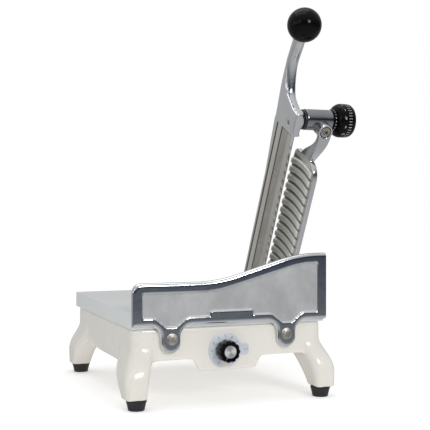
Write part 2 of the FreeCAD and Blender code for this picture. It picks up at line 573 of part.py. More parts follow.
bushing = new_body("dial_bushing", dial_at)
pad(bushing, rings(bushing, "bush_outside", "XZ_Plane", [("0", "0", "dial_bush_dia")],
                   "-dial_plate_thick - dial_nut_thick"),
    "dial_bush_long", True)
bore(bushing, "bush_inside", "XZ_Plane", [("0", "0", "dial_shaft_dia + 2 * run_gap")],
     "-dial_plate_thick - dial_nut_thick - overcut", "dial_bush_long + overcut")
control = rod("control_housing", "0", "control_deep", "control_dia",
              ("dial_x", "-body_front + wall", "dial_z"), plane="XZ_Plane")
bore(control, "control_mouth", "XZ_Plane", [("0", "0", "dial_bush_dia")], "-overcut",
     "control_deep - control_floor")
dial_nut = new_body("dial_nut", dial_at)
pad(dial_nut, hexagon(dial_nut, "dial_nut_flats", "XZ_Plane", [("0", "0")], "dial_nut_flats",
                      "-dial_plate_thick - dial_nut_thick"), "dial_nut_thick", True)
bore(dial_nut, "dial_nut_thread", "XZ_Plane", [("0", "0", "dial_bush_dia")],
     "-dial_plate_thick - dial_nut_thick - overcut", "overcut")

knob_back = "-dial_plate_thick - dial_nut_thick - dial_knob_gap"
knob_face = f"{knob_back} - dial_knob_long"
rod("dial_shaft", f"{knob_face} + dial_face_thick", "dial_bush_long - dial_shaft_short",
    "dial_shaft_dia", dial_at, plane="XZ_Plane")
knob = new_body("dial_knob", dial_at)
pad(knob, rings(knob, "knob_round", "XZ_Plane", [("0", "0", "dial_knob_dia")], knob_face),
    "dial_knob_long", True)
flutes = []
for row in range(int(SIZES["dial_flutes"])):
    angle = 360 / SIZES["dial_flutes"] * row
    flutes.append((f"dial_flute_ring / 2 * cos({angle:g})", f"dial_flute_ring / 2 * sin({angle:g})",
                   "dial_flute_dia"))
pocket(knob, rings(knob, "knob_flutes", "XZ_Plane", flutes, f"{knob_face} - overcut"),
       "dial_knob_long + 2 * overcut", False)
bore(knob, "knob_socket", "XZ_Plane", [("0", "0", "dial_shaft_dia")],
     f"{knob_face} + dial_face_thick", "0")
bore(knob, "cap_seat", "XZ_Plane", [("0", "0", "dial_cap_dia")], f"{knob_face} - overcut",
     f"{knob_face} + dial_cap_thick / 2")
rod("dial_cap", f"{knob_face} - dial_cap_thick / 2", f"{knob_face} + dial_cap_thick / 2",
    "dial_cap_dia", dial_at, plane="XZ_Plane")

# ---------------------------------------------------------------- hinge

hinge_at = ("0", "hinge_y", "hinge_z")


def bushing_at(label, start, stop, flange_start, flange_stop):
    """A flanged plain bearing on the hinge axis."""
    body = new_body(label, hinge_at)
    pad(body, rings(body, label + "_sleeve", "YZ_Plane", [("0", "0", "bush_dia")], start),
        f"({stop}) - ({start})")
    pad(body, rings(body, label + "_flange", "YZ_Plane", [("0", "0", "bush_flange_dia")],
                    flange_start), f"({flange_stop}) - ({flange_start})")
    bore(body, label + "_bore", "YZ_Plane", [("0", "0", "shaft_dia + 2 * run_gap")],
         f"({start}) - overcut", f"({flange_stop}) + overcut")


bushing_at("hinge_bushing_outer", post_x, "body_half", "body_half", "body_half + bush_flange")
inner = new_body("hinge_bushing_inner", hinge_at)
pad(inner, rings(inner, "inner_sleeve", "YZ_Plane", [("0", "0", "bush_dia")], "boss_left"),
    "boss_right - boss_left")
bore(inner, "inner_bore", "YZ_Plane", [("0", "0", "shaft_dia + 2 * run_gap")],
     "boss_left - overcut", "boss_right + overcut")

rod("hinge_shaft", "shaft_left", "shaft_right", "shaft_dia", hinge_at)

lever = new_body("stop_lever", hinge_at)
pad(lever, rings(lever, "lever_hub", "YZ_Plane", [("0", "0", "lever_hub_dia")], "lever_left"),
    "lever_right - lever_left")
finger = outline(lever, "lever_finger", "YZ_Plane", [
    ("-lever_reach", "-lever_thick / 2"), ("0", "-lever_thick / 2"),
    ("0", "lever_thick / 2"), ("-lever_reach", "lever_thick / 2"),
], "lever_left")
pad(lever, finger, "lever_right - lever_left")
bore(lever, "lever_bore", "YZ_Plane", [("0", "0", "shaft_dia")], "lever_left - overcut",
     "lever_right + overcut")

rod("rest_bumper", "hinge_z + lever_thick / 2 + bumper_gap", deck_low, "bumper_dia",
    (stop_x, "hinge_y - bumper_from_hinge", "0"), plane="XY_Plane")

stop_screw = new_body("down_stop_screw", (stop_x, "0", "stop_screw_z"))
pad(stop_screw, hexagon(stop_screw, "stop_head", "XZ_Plane", [("0", "0")], "stop_screw_flats",
                        "body_back"), "stop_screw_head", True)
pad(stop_screw, rings(stop_screw, "stop_shank", "XZ_Plane", [("0", "0", "stop_screw_dia")],
                      "stop_screw_tip"), "body_back - stop_screw_tip", True)
stop_nut = new_body("down_stop_nut", (stop_x, "0", "stop_screw_z"))
pad(stop_nut, hexagon(stop_nut, "stop_nut_flats", "XZ_Plane", [("0", "0")], "stop_screw_flats",
                      "body_back - wall - stop_nut_thick"), "stop_nut_thick", True)
bore(stop_nut, "stop_nut_thread", "XZ_Plane", [("0", "0", "stop_screw_dia")],
     "body_back - wall - stop_nut_thick - overcut", "body_back - wall + overcut")

# return spring: a coil round the shaft, swept along a helix
coil_radius = number("spring_mean_dia / 2")
coil = Part.makeHelix(number("spring_pitch"), number("spring_right - spring_left"), coil_radius)
wire_end = Part.makeCircle(number("spring_wire / 2"), FreeCAD.Vector(coil_radius, 0, 0),
                           FreeCAD.Vector(0, 1, number("spring_pitch") / 2 / math.pi / coil_radius))
spring = doc.addObject("Part::Feature", "return_spring")
spring.Shape = Part.Wire(coil).makePipeShell([Part.Wire(wire_end)], True, True)
spring.Placement = FreeCAD.Placement(
    FreeCAD.Vector(number("spring_left"), number("hinge_y"), number("hinge_z")),
    FreeCAD.Rotation(FreeCAD.Vector(0, 1, 0), 90))
nodes.append(spring)

# ---------------------------------------------------------------- knife arm

arm = new_body("arm_casting", on_arm=True)
arm_right = "arm_left + arm_thick"
side = outline(arm, "arm_side", "YZ_Plane", [
    ("hub_dia / 2 - heel", "0"), ("arm_spine", "arm_low"), ("arm_spine", "arm_bend"),
    ("cheek_spine", "cheek_spine_z"), ("cheek_spine - horn_slim", "horn_low"),
    ("ball_y + horn_back", "horn_top"), ("ball_y", "horn_top"),
    ("ball_y + horn_front", "horn_front_z"), ("throat_y", "throat_z"), ("crest_y", "crest_z"),
    ("shoulder_y", "shoulder_top"), ("-arm_shoulder", "shoulder_top"),
    ("-arm_shoulder", "cheek_low + knife_gap"), ("-arm_web", "cheek_low + knife_gap"),
    ("-arm_web", "arm_low"), ("-hub_dia / 2 + heel", "0"),
], "arm_left")
pad(arm, side, "arm_thick")
round_corners(arm, "X", [("cheek_spine", "cheek_spine_z"), ("arm_spine", "arm_bend")], "fence_sweep")
round_corners(arm, "X", [("throat_y", "throat_z"), ("ball_y + horn_front", "horn_front_z")], "arm_web")
pad(arm, rings(arm, "arm_hub", "YZ_Plane", [("0", "0", "hub_dia")], "arm_left"),
    "hub_right - arm_left")
pad(arm, rings(arm, "spindle_boss", "YZ_Plane", [("spindle_y", "spindle_z", "boss_dia")],
               "arm_left"), "boss_face - arm_left")

# round bar that cranks up from the spindle boss into the ball
route = [("bar_root_y", "bar_root_z"), ("bar_low_y", "bar_low_z"), ("bar_bend_y", "bar_bend_z"),
         ("bar_mid_y", "bar_mid_z"), ("bar_back_y", "bar_back_z"), ("bar_neck_y", "bar_neck_z"),
         ("ball_y + bar_end_back", "ball_z - ball_flat + bar_over")]
path = new_sketch(arm, "bar_route", "YZ_Plane", "handle_x")
stations = [FreeCAD.Vector(number(y), number(z), 0) for y, z in route]
curve = Part.BSplineCurve()
curve.interpolate(stations)
path.addGeometry(curve, False)
bar_end = new_sketch(arm, "bar_end", "XY_Plane")
bar_end.AttachmentSupport = [(path, "Edge1")]
bar_end.MapMode = "NormalToEdge"
bar_end.addGeometry(Part.Circle(FreeCAD.Vector(), FreeCAD.Vector(0, 0, 1), number("handle_dia / 2")),
                    False)
bar_end.addConstraint(Sketcher.Constraint("Coincident", 0, 3, -1, 1))
across = bar_end.addConstraint(Sketcher.Constraint("Diameter", 0, number("handle_dia")))
bar_end.setExpression("Constraints[%d]" % across, bound("handle_dia"))
bar = arm.newObject("PartDesign::AdditivePipe", "handle_bar")
bar.Profile = bar_end
bar.Spine = (path, ["Edge1"])
finish_feature(arm, bar, True)

# rebate for the knife and the two long grooves
knife_face = "arm_left - overcut"
rebate = outline(arm, "knife_rebate", "YZ_Plane", [
    ("-knife_edge - overcut", "knife_low - knife_gap"),
    ("knife_back + knife_gap", "knife_low - knife_gap"),
    ("knife_back + knife_gap", "cheek_low"), ("-knife_edge - overcut", "cheek_low"),
], knife_face)
pocket(arm, rebate, "knife_thick + overcut")
for name, middle in (("one", "groove_one"), ("two", "groove_two")):
    groove = outline(arm, "groove_" + name, "YZ_Plane", [
        (f"{middle} - groove_wide / 2", "arm_low"), (f"{middle} + groove_wide / 2", "arm_low"),
        (f"{middle} + groove_wide / 2", "cheek_low"), (f"{middle} - groove_wide / 2", "cheek_low"),
    ], knife_face)
    pocket(arm, groove, "groove_deep + overcut")
knife_screw_places = [("knife_screw_y", f"knife_screw_first + {row} * knife_screw_step")
                      for row in range(4)]
bore(arm, "knife_screw_pilots", "YZ_Plane", [(y, z, "small_screw_dia") for y, z in knife_screw_places],
     "arm_left + knife_thick - overcut", "arm_left + knife_screw_long")
bore(arm, "hub_bore", "YZ_Plane", [("0", "0", "shaft_dia")], "arm_left - overcut",
     "hub_right + overcut")
bore(arm, "spindle_seat", "YZ_Plane", [("spindle_y", "spindle_z", "spindle_dia")],
     "spindle_left", "boss_face + overcut")
bore(arm, "guide_pin_seat", "YZ_Plane", [("pin_y", "pin_z", "pin_dia")],
     "pin_left", "boss_face + overcut")
bore(arm, "lock_seat", "YZ_Plane", [("lock_y", "lock_z", "lock_dia")], "arm_left - overcut",
     "arm_left + lock_deep")
bore(arm, "ring_face", "YZ_Plane", [("spindle_y", "spindle_z", "block_dia + 2 * face_gap")],
     "boss_face", "handle_x + handle_dia")

knife = new_body("knife_blade", on_arm=True)
blade = outline(knife, "knife_outline", "YZ_Plane", [
    ("-knife_edge", "knife_low"), ("knife_back", "knife_low"),
    ("knife_back", "cheek_low - knife_gap"), ("-knife_edge", "cheek_low - knife_gap"),
], "arm_left")
pad(knife, blade, "knife_thick")
grind = outline(knife, "knife_grind", "XY_Plane", [
    ("arm_left + knife_thick + fit_gap", "-knife_edge + knife_bevel"),
    ("arm_left + knife_thick + fit_gap", "-knife_edge - overcut"),
    ("arm_left + knife_land", "-knife_edge - overcut"), ("arm_left + knife_land", "-knife_edge"),
], "knife_low - overcut")
pocket(knife, grind, "cheek_low - knife_low + 2 * overcut")
sinks = [(y, z, "small_screw_dia * 2") for y, z in knife_screw_places]
bore(knife, "knife_sinks", "YZ_Plane", sinks, "arm_left - overcut", "arm_left + knife_sink")
bore(knife, "knife_holes", "YZ_Plane",
     [(y, z, "small_screw_dia + 2 * fit_gap") for y, z in knife_screw_places],
     "arm_left - overcut", "arm_left + knife_thick + overcut")

knife_screws = new_body("knife_screws", on_arm=True)
pad(knife_screws, rings(knife_screws, "knife_screw_heads", "YZ_Plane",
                        [(y, z, "small_screw_dia * 2 - 2 * fit_gap") for y, z in knife_screw_places],
                        "arm_left + fit_gap"), "knife_sink - fit_gap")
pad(knife_screws, rings(knife_screws, "knife_screw_shanks", "YZ_Plane",
                        [(y, z, "small_screw_dia") for y, z in knife_screw_places],
                        "arm_left + knife_sink"), "knife_screw_long - knife_sink")

washer = rod("shaft_washer", "hub_right", "hub_right + washer_thick", "washer_dia", on_arm=True)
bore(washer, "washer_hole", "YZ_Plane", [("0", "0", "shaft_dia")], "hub_right - overcut",
     "hub_right + washer_thick + overcut")
shaft_nut = new_body("shaft_nut", on_arm=True)
pad(shaft_nut, hexagon(shaft_nut, "shaft_nut_shape", "YZ_Plane", [("0", "0")], "shaft_nut_flats",
                       "hub_right + washer_thick"), "shaft_nut_thick")
bore(shaft_nut, "shaft_nut_thread", "YZ_Plane", [("0", "0", "shaft_dia")],
     "hub_right", "hub_right + washer_thick + shaft_nut_thick + overcut")

# handle ball on its stud
ball_at = ("ball_x", "ball_y", "ball_z")
ball = new_body("handle_ball", ball_at, on_arm=True)
half_ball = new_sketch(ball, "ball_half", "XZ_Plane")
radius = number("ball_dia / 2")
flat = number("ball_flat")
flat_reach = math.sqrt(radius ** 2 - flat ** 2)
half_ball.addGeometry(Part.LineSegment(FreeCAD.Vector(0, radius, 0), FreeCAD.Vector(0, -flat, 0)),
                      False)
half_ball.addGeometry(Part.LineSegment(FreeCAD.Vector(0, -flat, 0),
                                       FreeCAD.Vector(flat_reach, -flat, 0)), False)
round_side = Part.Circle(FreeCAD.Vector(), FreeCAD.Vector(0, 0, 1), radius)
half_ball.addGeometry(Part.ArcOfCircle(round_side, -math.asin(flat / radius), math.pi / 2), False)
half_ball.addConstraint(Sketcher.Constraint("Coincident", 0, 2, 1, 1))
half_ball.addConstraint(Sketcher.Constraint("Coincident", 1, 2, 2, 1))
half_ball.addConstraint(Sketcher.Constraint("Coincident", 2, 2, 0, 1))
half_ball.addConstraint(Sketcher.Constraint("Coincident", 2, 3, -1, 1))
half_ball.addConstraint(Sketcher.Constraint("Vertical", 0))
half_ball.addConstraint(Sketcher.Constraint("Horizontal", 1))
pin_point(half_ball, 0, 2, ("0", "-ball_flat"))
size = half_ball.addConstraint(Sketcher.Constraint("Radius", 2, radius))
half_ball.setExpression("Constraints[%d]" % size, bound("ball_dia / 2"))
turn(ball, half_ball, "V_Axis")
bore(ball, "ball_socket", "XY_Plane", [("0", "0", "stud_dia")], "-ball_flat - overcut",
     "-ball_flat + stud_in_ball")
bore(arm, "stud_seat", "XY_Plane", [("ball_x", "ball_y", "stud_dia")],
     "ball_z - ball_flat - stud_in_bar", "ball_z")
flat_cut = outline(arm, "bar_top", "XY_Plane", [
    ("ball_x - ball_dia", "ball_y - ball_dia"), ("ball_x + ball_dia", "ball_y - ball_dia"),
    ("ball_x + ball_dia", "ball_y + ball_dia"), ("ball_x - ball_dia", "ball_y + ball_dia"),
], "ball_z - ball_flat")
pocket(arm, flat_cut, "ball_dia")
rod("handle_stud", "-ball_flat - stud_in_bar", "-ball_flat + stud_in_ball", "stud_dia",
    ball_at, on_arm=True, plane="XY_Plane")

# ---------------------------------------------------------------- thickness spindle

spindle_at = ("0", "spindle_y", "spindle_z")
rod("thickness_spindle", "spindle_left", "spindle_right", "spindle_dia", spindle_at, on_arm=True)
ring = rod("stop_ring", "boss_face", "boss_face + ring_thick", "ring_dia", spindle_at, on_arm=True)
ring_hole_end = "boss_face + ring_thick + overcut"
bore(ring, "ring_hole", "YZ_Plane", [("0", "0", "spindle_dia + 2 * fit_gap")], "boss_face - overcut",
     ring_hole_end)
bore(ring, "ring_pin_hole", "YZ_Plane",
     [("pin_y - spindle_y", "pin_z - spindle_z", "pin_dia + 2 * fit_gap")], "boss_face - overcut",
     ring_hole_end)
rod("guide_pin", "pin_left", "pin_right", "pin_dia", ("0", "pin_y", "pin_z"), on_arm=True)
rod("spindle_lock_screw", "arm_left + lock_sunk", "arm_left + lock_deep", "lock_dia",
    ("0", "lock_y", "lock_z"), on_arm=True)

slide = new_body("slide_block", spindle_at, on_arm=True)
pad(slide, rings(slide, "block_round", "YZ_Plane", [("0", "0", "block_dia")], "block_left"),
    "block_right - block_left")
lug = rings(slide, "block_lug", "XZ_Plane", [("lug_x", "lug_z - spindle_z", "lug_dia")],
            "lug_face - spindle_y")
pad(slide, lug, "spindle_y - lug_face", True)
bore(slide, "block_bore", "YZ_Plane", [("0", "0", "spindle_dia + 2 * run_gap")],
     "block_left - overcut", "block_right + overcut")
bore(slide, "block_pin_hole", "YZ_Plane",
     [("pin_y - spindle_y", "pin_z - spindle_z", "pin_dia + 2 * run_gap")],
     "block_left - overcut", "pin_right + pin_room")
bore(slide, "insert_seat", "YZ_Plane", [("0", "0", "insert_dia + 2 * run_gap")],
     "block_right - block_counterbore", "block_right + overcut")
bore(slide, "lug_thread", "XZ_Plane", [("lug_x", "lug_z - spindle_z", "screw_dia")],
     "lug_face - spindle_y - overcut", "screw_tip - spindle_y")
bore(slide, "keeper_hole", "XY_Plane", [("keeper_x", "0", "keeper_dia")],
     "insert_dia / 2 - overcut", "block_dia / 2 + overcut")

keeper = new_body("keeper_screw", spindle_at, on_arm=True)
pad(keeper, rings(keeper, "keeper_body", "XY_Plane", [("keeper_x", "0", "keeper_dia")],
                  "insert_dia / 2 + part_gap"), "block_dia / 2 - insert_dia / 2 - overcut")
pad(keeper, rings(keeper, "keeper_tip", "XY_Plane", [("keeper_x", "0", "keeper_tip_dia")],
                  "insert_groove_dia / 2 + part_gap"),
    "insert_dia / 2 - insert_groove_dia / 2")

# gauge plate: a ribbed slab with a neck that rises to an eye on the block's lug


def curved_rib(body, name, crown_z, at):
    """The foot of one rib: a band between two arcs, level at its crown and cut off upright."""
    sketch = new_sketch(body, name, "YZ_Plane", at)
    near = "gauge_front + rib_margin"
    far = "gauge_back"
    hub = ("rib_crown", f"{crown_z} - rib_radius")
    middle = FreeCAD.Vector(number(hub[0]), number(hub[1]), 0)
    ends = {}
    for edge, sign in (("low", "-"), ("high", "+")):
        reach = f"(rib_radius {sign} rib_base / 2)"
        for end in (near, far):
            up = f"{hub[1]} + sqrt({reach} * {reach} - ({end} - rib_crown) * ({end} - rib_crown))"
            ends[edge, end] = (end, up)
    spots = {key: FreeCAD.Vector(number(u), number(v), 0) for key, (u, v) in ends.items()}
    for edge in ("low", "high"):
        start = spots[edge, far] - middle
        stop = spots[edge, near] - middle
        circle = Part.Circle(middle, FreeCAD.Vector(0, 0, 1), start.Length)
        sketch.addGeometry(Part.ArcOfCircle(circle, math.atan2(start.y, start.x),
                                            math.atan2(stop.y, stop.x)), False)
    for end in (near, far):
        sketch.addGeometry(Part.LineSegment(spots["low", end], spots["high", end]), False)
    for arc, edge, sign in ((0, "low", "-"), (1, "high", "+")):
        for line, arc_end, end in ((2, 2, near), (3, 1, far)):
            sketch.addConstraint(Sketcher.Constraint("Coincident", line, arc + 1, arc, arc_end))
            pin_point(sketch, line, arc + 1, ends[edge, end])
        size = sketch.addConstraint(
            Sketcher.Constraint("Radius", arc, number(f"rib_radius {sign} rib_base / 2")))
        sketch.setExpression("Constraints[%d]" % size, bound(f"rib_radius {sign} rib_base / 2"))
    return sketch


gauge = new_body("gauge_plate", on_arm=True)
slab_left = "gauge_face + rib_high"
slab = outline(gauge, "gauge_slab", "YZ_Plane", [
    ("gauge_front", "gauge_low"), ("gauge_back", "gauge_low"),
    ("gauge_back", "gauge_top"), ("gauge_front", "gauge_top"),
], slab_left)
pad(gauge, slab, f"gauge_right - ({slab_left})")
round_corners(gauge, "X", [("gauge_front", "gauge_top")], "gauge_corner")
round_corners(gauge, "X", [("gauge_back", "gauge_top")], "gauge_corner_back")
for row in range(int(SIZES["rib_count"])):
    rib_arc = curved_rib(gauge, f"rib_{row + 1}", f"rib_first + rib_pitch * {row}", slab_left)
    rib_pad = pad(gauge, rib_arc, "rib_high", True)
    rib_pad.setExpression("TaperAngle", bound("-rib_draft"))
    doc.recompute()
eye_front = "lug_face - eye_thick"
neck_sections = []
for level in ("low", "mid", "high"):
    neck_sections.append(rounded_box(
        gauge, f"neck_{level}", (f"neck_{level}_left", f"neck_{level}_front"),
        (f"neck_{level}_right", f"neck_{level}_back"), "neck_round", f"neck_{level}_z"))
neck_sections.append(rounded_box(
    gauge, "neck_top", ("lug_x - lug_dia / 2 + overcut", f"{eye_front}"),
    ("lug_x + lug_dia / 2 - overcut", "lug_face"), "neck_round", "lug_z"))
neck = gauge.newObject("PartDesign::AdditiveLoft", "gauge_neck")
neck.Profile = neck_sections[0]
neck.Sections = neck_sections[1:]
finish_feature(gauge, neck, True)
pad(gauge, rings(gauge, "gauge_eye", "XZ_Plane", [("lug_x", "lug_z", "lug_dia")], eye_front),
    "eye_thick", True)
bore(gauge, "eye_hole", "XZ_Plane", [("lug_x", "lug_z", "screw_dia + 2 * fit_gap")],
     f"{eye_front} - overcut", "lug_face + overcut")
bore(gauge, "eye_recess", "XZ_Plane", [("lug_x", "lug_z", "screw_recess_dia")],
     f"{eye_front} - overcut", f"{eye_front} + screw_recess_deep")

lug_screw = new_body("gauge_screw", on_arm=True)
head_front = f"{eye_front} + screw_recess_deep - screw_head_high"
pad(lug_screw, rings(lug_screw, "gauge_screw_head", "XZ_Plane",
                     [("lug_x", "lug_z", "screw_head_dia")], head_front), "screw_head_high", True)
pad(lug_screw, rings(lug_screw, "gauge_screw_shank", "XZ_Plane",
                     [("lug_x", "lug_z", "screw_dia")], f"{eye_front} + screw_recess_deep"),
    f"screw_tip - ({eye_front}) - screw_recess_deep", True)
key = hexagon(lug_screw, "gauge_screw_key", "XZ_Plane", [("lug_x", "lug_z")], "screw_key",
              f"{head_front} - overcut")
pocket(lug_screw, key, "screw_key_deep + overcut", False)

# ---------------------------------------------------------------- graduated knob

insert_left = "block_right - block_counterbore + part_gap"
insert = rod("knob_insert", insert_left, "insert_right", "insert_dia", spindle_at, on_arm=True)
groove_wall = outline(insert, "insert_groove_wall", "XZ_Plane", [
    ("keeper_x - insert_groove / 2", "insert_groove_dia / 2"),
    ("keeper_x + insert_groove / 2", "insert_groove_dia / 2"),
    ("keeper_x + insert_groove / 2", "insert_dia / 2 + overcut"),
    ("keeper_x - insert_groove / 2", "insert_dia / 2 + overcut"),
])
turn(insert, groove_wall, "H_Axis", True)
bore(insert, "insert_bore", "YZ_Plane", [("0", "0", "spindle_dia + 2 * run_gap")],
     f"{insert_left} - overcut", "insert_right + overcut")
collar_left = "block_right + part_gap"
collar = rod("scale_collar", collar_left, "collar_right", "collar_dia", spindle_at, on_arm=True)
bore(collar, "collar_bore", "YZ_Plane", [("0", "0", "insert_dia")], f"{collar_left} - overcut",
     "collar_right + overcut")
hand = new_body("thickness_knob", spindle_at, on_arm=True)
pad(hand, rings(hand, "knob_blank", "YZ_Plane", [("0", "0", "knob_dia")], "collar_right"),
    "knob_right - collar_right")
for place, size in (("collar_right", "knob_round_left"), ("knob_right", "knob_round_right")):
    spot = number(place)
    rim = edges_where(hand, lambda edge: all(abs(v.X - spot) < 0.01 for v in edge.Vertexes))
    soften(hand, "Fillet", rim, size)
bore(hand, "knob_bore", "YZ_Plane", [("0", "0", "insert_dia")], "collar_right - overcut",
     "insert_right")
bore(hand, "grub_hole", "XY_Plane", [("grub_x", "0", "grub_dia")], "insert_dia / 2 - overcut / 2",
     "knob_dia")
rod("knob_grub_screw", "insert_dia / 2", "knob_dia / 2 - grub_sunk", "grub_dia",
    ("grub_x", "spindle_y", "spindle_z"), on_arm=True, plane="XY_Plane")

# ---------------------------------------------------------------- check and write

doc.recompute()
for item in doc.Objects:
    if "Invalid" in item.State or "Error" in item.State:
        raise ValueError("%s is in state %s" % (item.Label, item.State))
os.makedirs("parts", exist_ok=True)
for node in nodes:
    if node.Shape.isNull() or not node.Shape.isValid() or not node.Shape.Solids:
        raise ValueError("%s has no sound shape" % node.Label)
for node in nodes:
    node.Shape.exportStep("parts/%s.step" % node.Label)
    print("%-22s %9.1f mm3  %d solid" % (node.Label, node.Shape.Volume, len(node.Shape.Solids)))
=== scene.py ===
import json
import math

import bmesh
import bpy
from mathutils import Matrix, Vector


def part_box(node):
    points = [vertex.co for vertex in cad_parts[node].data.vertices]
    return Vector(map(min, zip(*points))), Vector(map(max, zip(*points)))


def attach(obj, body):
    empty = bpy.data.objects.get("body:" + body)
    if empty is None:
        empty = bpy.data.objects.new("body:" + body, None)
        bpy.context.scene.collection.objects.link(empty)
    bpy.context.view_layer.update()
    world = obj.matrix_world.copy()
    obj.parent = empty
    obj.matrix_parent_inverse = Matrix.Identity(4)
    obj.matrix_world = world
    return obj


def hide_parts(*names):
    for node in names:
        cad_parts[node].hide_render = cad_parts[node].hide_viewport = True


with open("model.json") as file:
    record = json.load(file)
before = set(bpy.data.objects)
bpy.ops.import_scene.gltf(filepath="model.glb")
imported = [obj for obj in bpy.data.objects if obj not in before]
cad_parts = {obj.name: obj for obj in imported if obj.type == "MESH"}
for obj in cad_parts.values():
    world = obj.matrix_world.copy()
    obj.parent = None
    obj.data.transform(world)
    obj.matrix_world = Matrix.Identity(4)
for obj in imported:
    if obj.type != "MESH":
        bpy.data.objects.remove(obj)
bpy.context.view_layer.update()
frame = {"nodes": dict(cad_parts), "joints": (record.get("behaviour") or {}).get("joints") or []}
nodes = frame["nodes"]
mm = 0.001

# the arm's own frame: origin on the hinge, y towards the spine, z up the arm
armLean = math.radians(28)
hinge = Vector(next(j["pos_m"] for j in frame["joints"] if j["name"] == "arm_hinge"))
hinge.x = 0
spindle = Vector(next(j["pos_m"] for j in frame["joints"] if j["name"] == "knob_turn"))
dialCentre = Vector(next(j["pos_m"] for j in frame["joints"] if j["name"] == "dial_turn"))
armFrame = Matrix.Translation(hinge) @ Matrix.Rotation(armLean, 4, "X")


# node trees

class Wire:
    # a socket that can be used in sums
    def __init__(self, tree, socket):
        self.tree = tree
        self.socket = socket

    def math(self, operation, *others):
        return self.tree.node("ShaderNodeMath", {"operation": operation}, [self, *others])

    def __add__(self, other):
        return self.math("ADD", other)

    def __radd__(self, other):
        return self.math("ADD", other)

    def __sub__(self, other):
        return self.math("SUBTRACT", other)

    def __mul__(self, other):
        return self.math("MULTIPLY", other)

    def __rmul__(self, other):
        return self.math("MULTIPLY", other)

    def __pow__(self, other):
        return self.math("POWER", other)

    def __rsub__(self, other):
        return self.tree.node("ShaderNodeMath", {"operation": "SUBTRACT"}, [other, self])

    def above(self, edge, soft):
        # 0 below the edge and 1 above it, over a soft width
        return self.tree.node("ShaderNodeMapRange", {"interpolation_type": "SMOOTHSTEP"},
                              {0: self, 1: edge - soft, 2: edge + soft, 3: 0.0, 4: 1.0})

    def within(self, low, high, soft):
        return self.above(low, soft) * (1 - self.above(high, soft))


class Tree:
    def __init__(self, nodeTree):
        self.nodeTree = nodeTree

    def node(self, kind, settings=None, inputs=None, out=0):
        made = self.nodeTree.nodes.new(kind)
        for key, value in (settings or {}).items():
            if key == "stops":
                ramp = made.color_ramp
                while len(ramp.elements) < len(value):
                    ramp.elements.new(0.5)
                for element, (place, colour) in zip(ramp.elements, value):
                    element.position = place
                    element.color = (*colour, 1)
            else:
                setattr(made, key, value)
        pairs = inputs.items() if isinstance(inputs, dict) else enumerate(inputs or [])
        for key, value in pairs:
            socket = made.inputs[key]
            if isinstance(value, Wire):
                self.nodeTree.links.new(value.socket, socket)
            else:
                socket.default_value = value
        return Wire(self, made.outputs[out]) if len(made.outputs) else made


class Finish(Tree):
    # one material: object coordinates in, a Principled surface out
    def __init__(self, name):
        self.material = bpy.data.materials.new(name)
        self.material.use_nodes = True
        super().__init__(self.material.node_tree)
        self.nodeTree.nodes.clear()
        self.place = self.node("ShaderNodeTexCoord", out="Object")

    def turned(self, location=(0, 0, 0), rotation=(0, 0, 0)):
        return self.node("ShaderNodeMapping", {"vector_type": "TEXTURE"},
                         {"Vector": self.place, "Location": location, "Rotation": rotation})

    def scaled(self, vector, factors):
        return self.node("ShaderNodeMapping", {}, {"Vector": vector, "Scale": factors})

    def part(self, vector, axis):
        return self.node("ShaderNodeSeparateXYZ", {}, [vector], out=axis)

    def noise(self, scale, detail=3.0, rough=0.5, vector=None, distortion=0.0):
        return self.node("ShaderNodeTexNoise", {}, {"Vector": vector or self.place, "Scale": scale,
                         "Detail": detail, "Roughness": rough, "Distortion": distortion})

    def mix(self, factor, first, second):
        first, second = [c if isinstance(c, Wire) else (*c, 1) for c in (first, second)]
        return self.node("ShaderNodeMix", {"data_type": "RGBA"}, {0: factor, 6: first, 7: second}, out=2)

    def bump(self, height, strength, distance, under=None):
        inputs = {"Height": height, "Strength": strength, "Distance": distance}
        if under:
            inputs["Normal"] = under
        return self.node("ShaderNodeBump", {}, inputs)

    def surface(self, colour, roughness, metallic=0.0, normal=None, **fixed):
        colour = colour if isinstance(colour, Wire) else (*colour, 1)
        inputs = {"Base Color": colour, "Roughness": roughness, "Metallic": metallic}
        inputs.update({key.replace("_", " "): value for key, value in fixed.items()})
        if normal:
            inputs["Normal"] = normal
        shader = self.node("ShaderNodeBsdfPrincipled", {}, inputs)
        self.node("ShaderNodeOutputMaterial", {}, {"Surface": shader})
        return self.material


# finishes, each with the values a user would change

enamelValues = {"dark": (0.79, 0.755, 0.685), "pale": (0.82, 0.79, 0.73), "darkLowTone": (0.62, 0.56, 0.47),
                "speck": (0.45, 0.38, 0.30), "darkLowTo": 0.020, "rough": 0.20, "ripple": 0.30, "coat": 0.55}


def creamEnamel(v):
    f = Finish("creamEnamel")
    cloud = f.noise(14, 3)
    speck = f.noise(260, 2).above(0.71, 0.03)
    height = f.part(f.place, 2)
    # darker towards the bottom: a darker tone mixed in blotches, fading out above about 20 mm
    low = 1 - height.above(v["darkLowTo"], 0.018)
    colour = f.mix(cloud, v["dark"], v["pale"])
    colour = f.mix(low * cloud * 0.35, colour, v["darkLowTone"])
    colour = f.mix(speck * 0.18, colour, v["speck"])
    wave = f.bump(f.noise(38, 1.5), v["ripple"], 0.0022)
    peel = f.bump(f.noise(520, 2), 0.10, 0.0003, wave)
    return f.surface(colour, v["rough"] + 0.10 * cloud, 0.0, peel,
                     Coat_Weight=v["coat"], Coat_Roughness=0.06, Coat_IOR=1.5)


slabValues = {"dark": (0.62, 0.64, 0.64), "pale": (0.69, 0.705, 0.70), "cut": (0.50, 0.51, 0.50),
              "rough": 0.36}


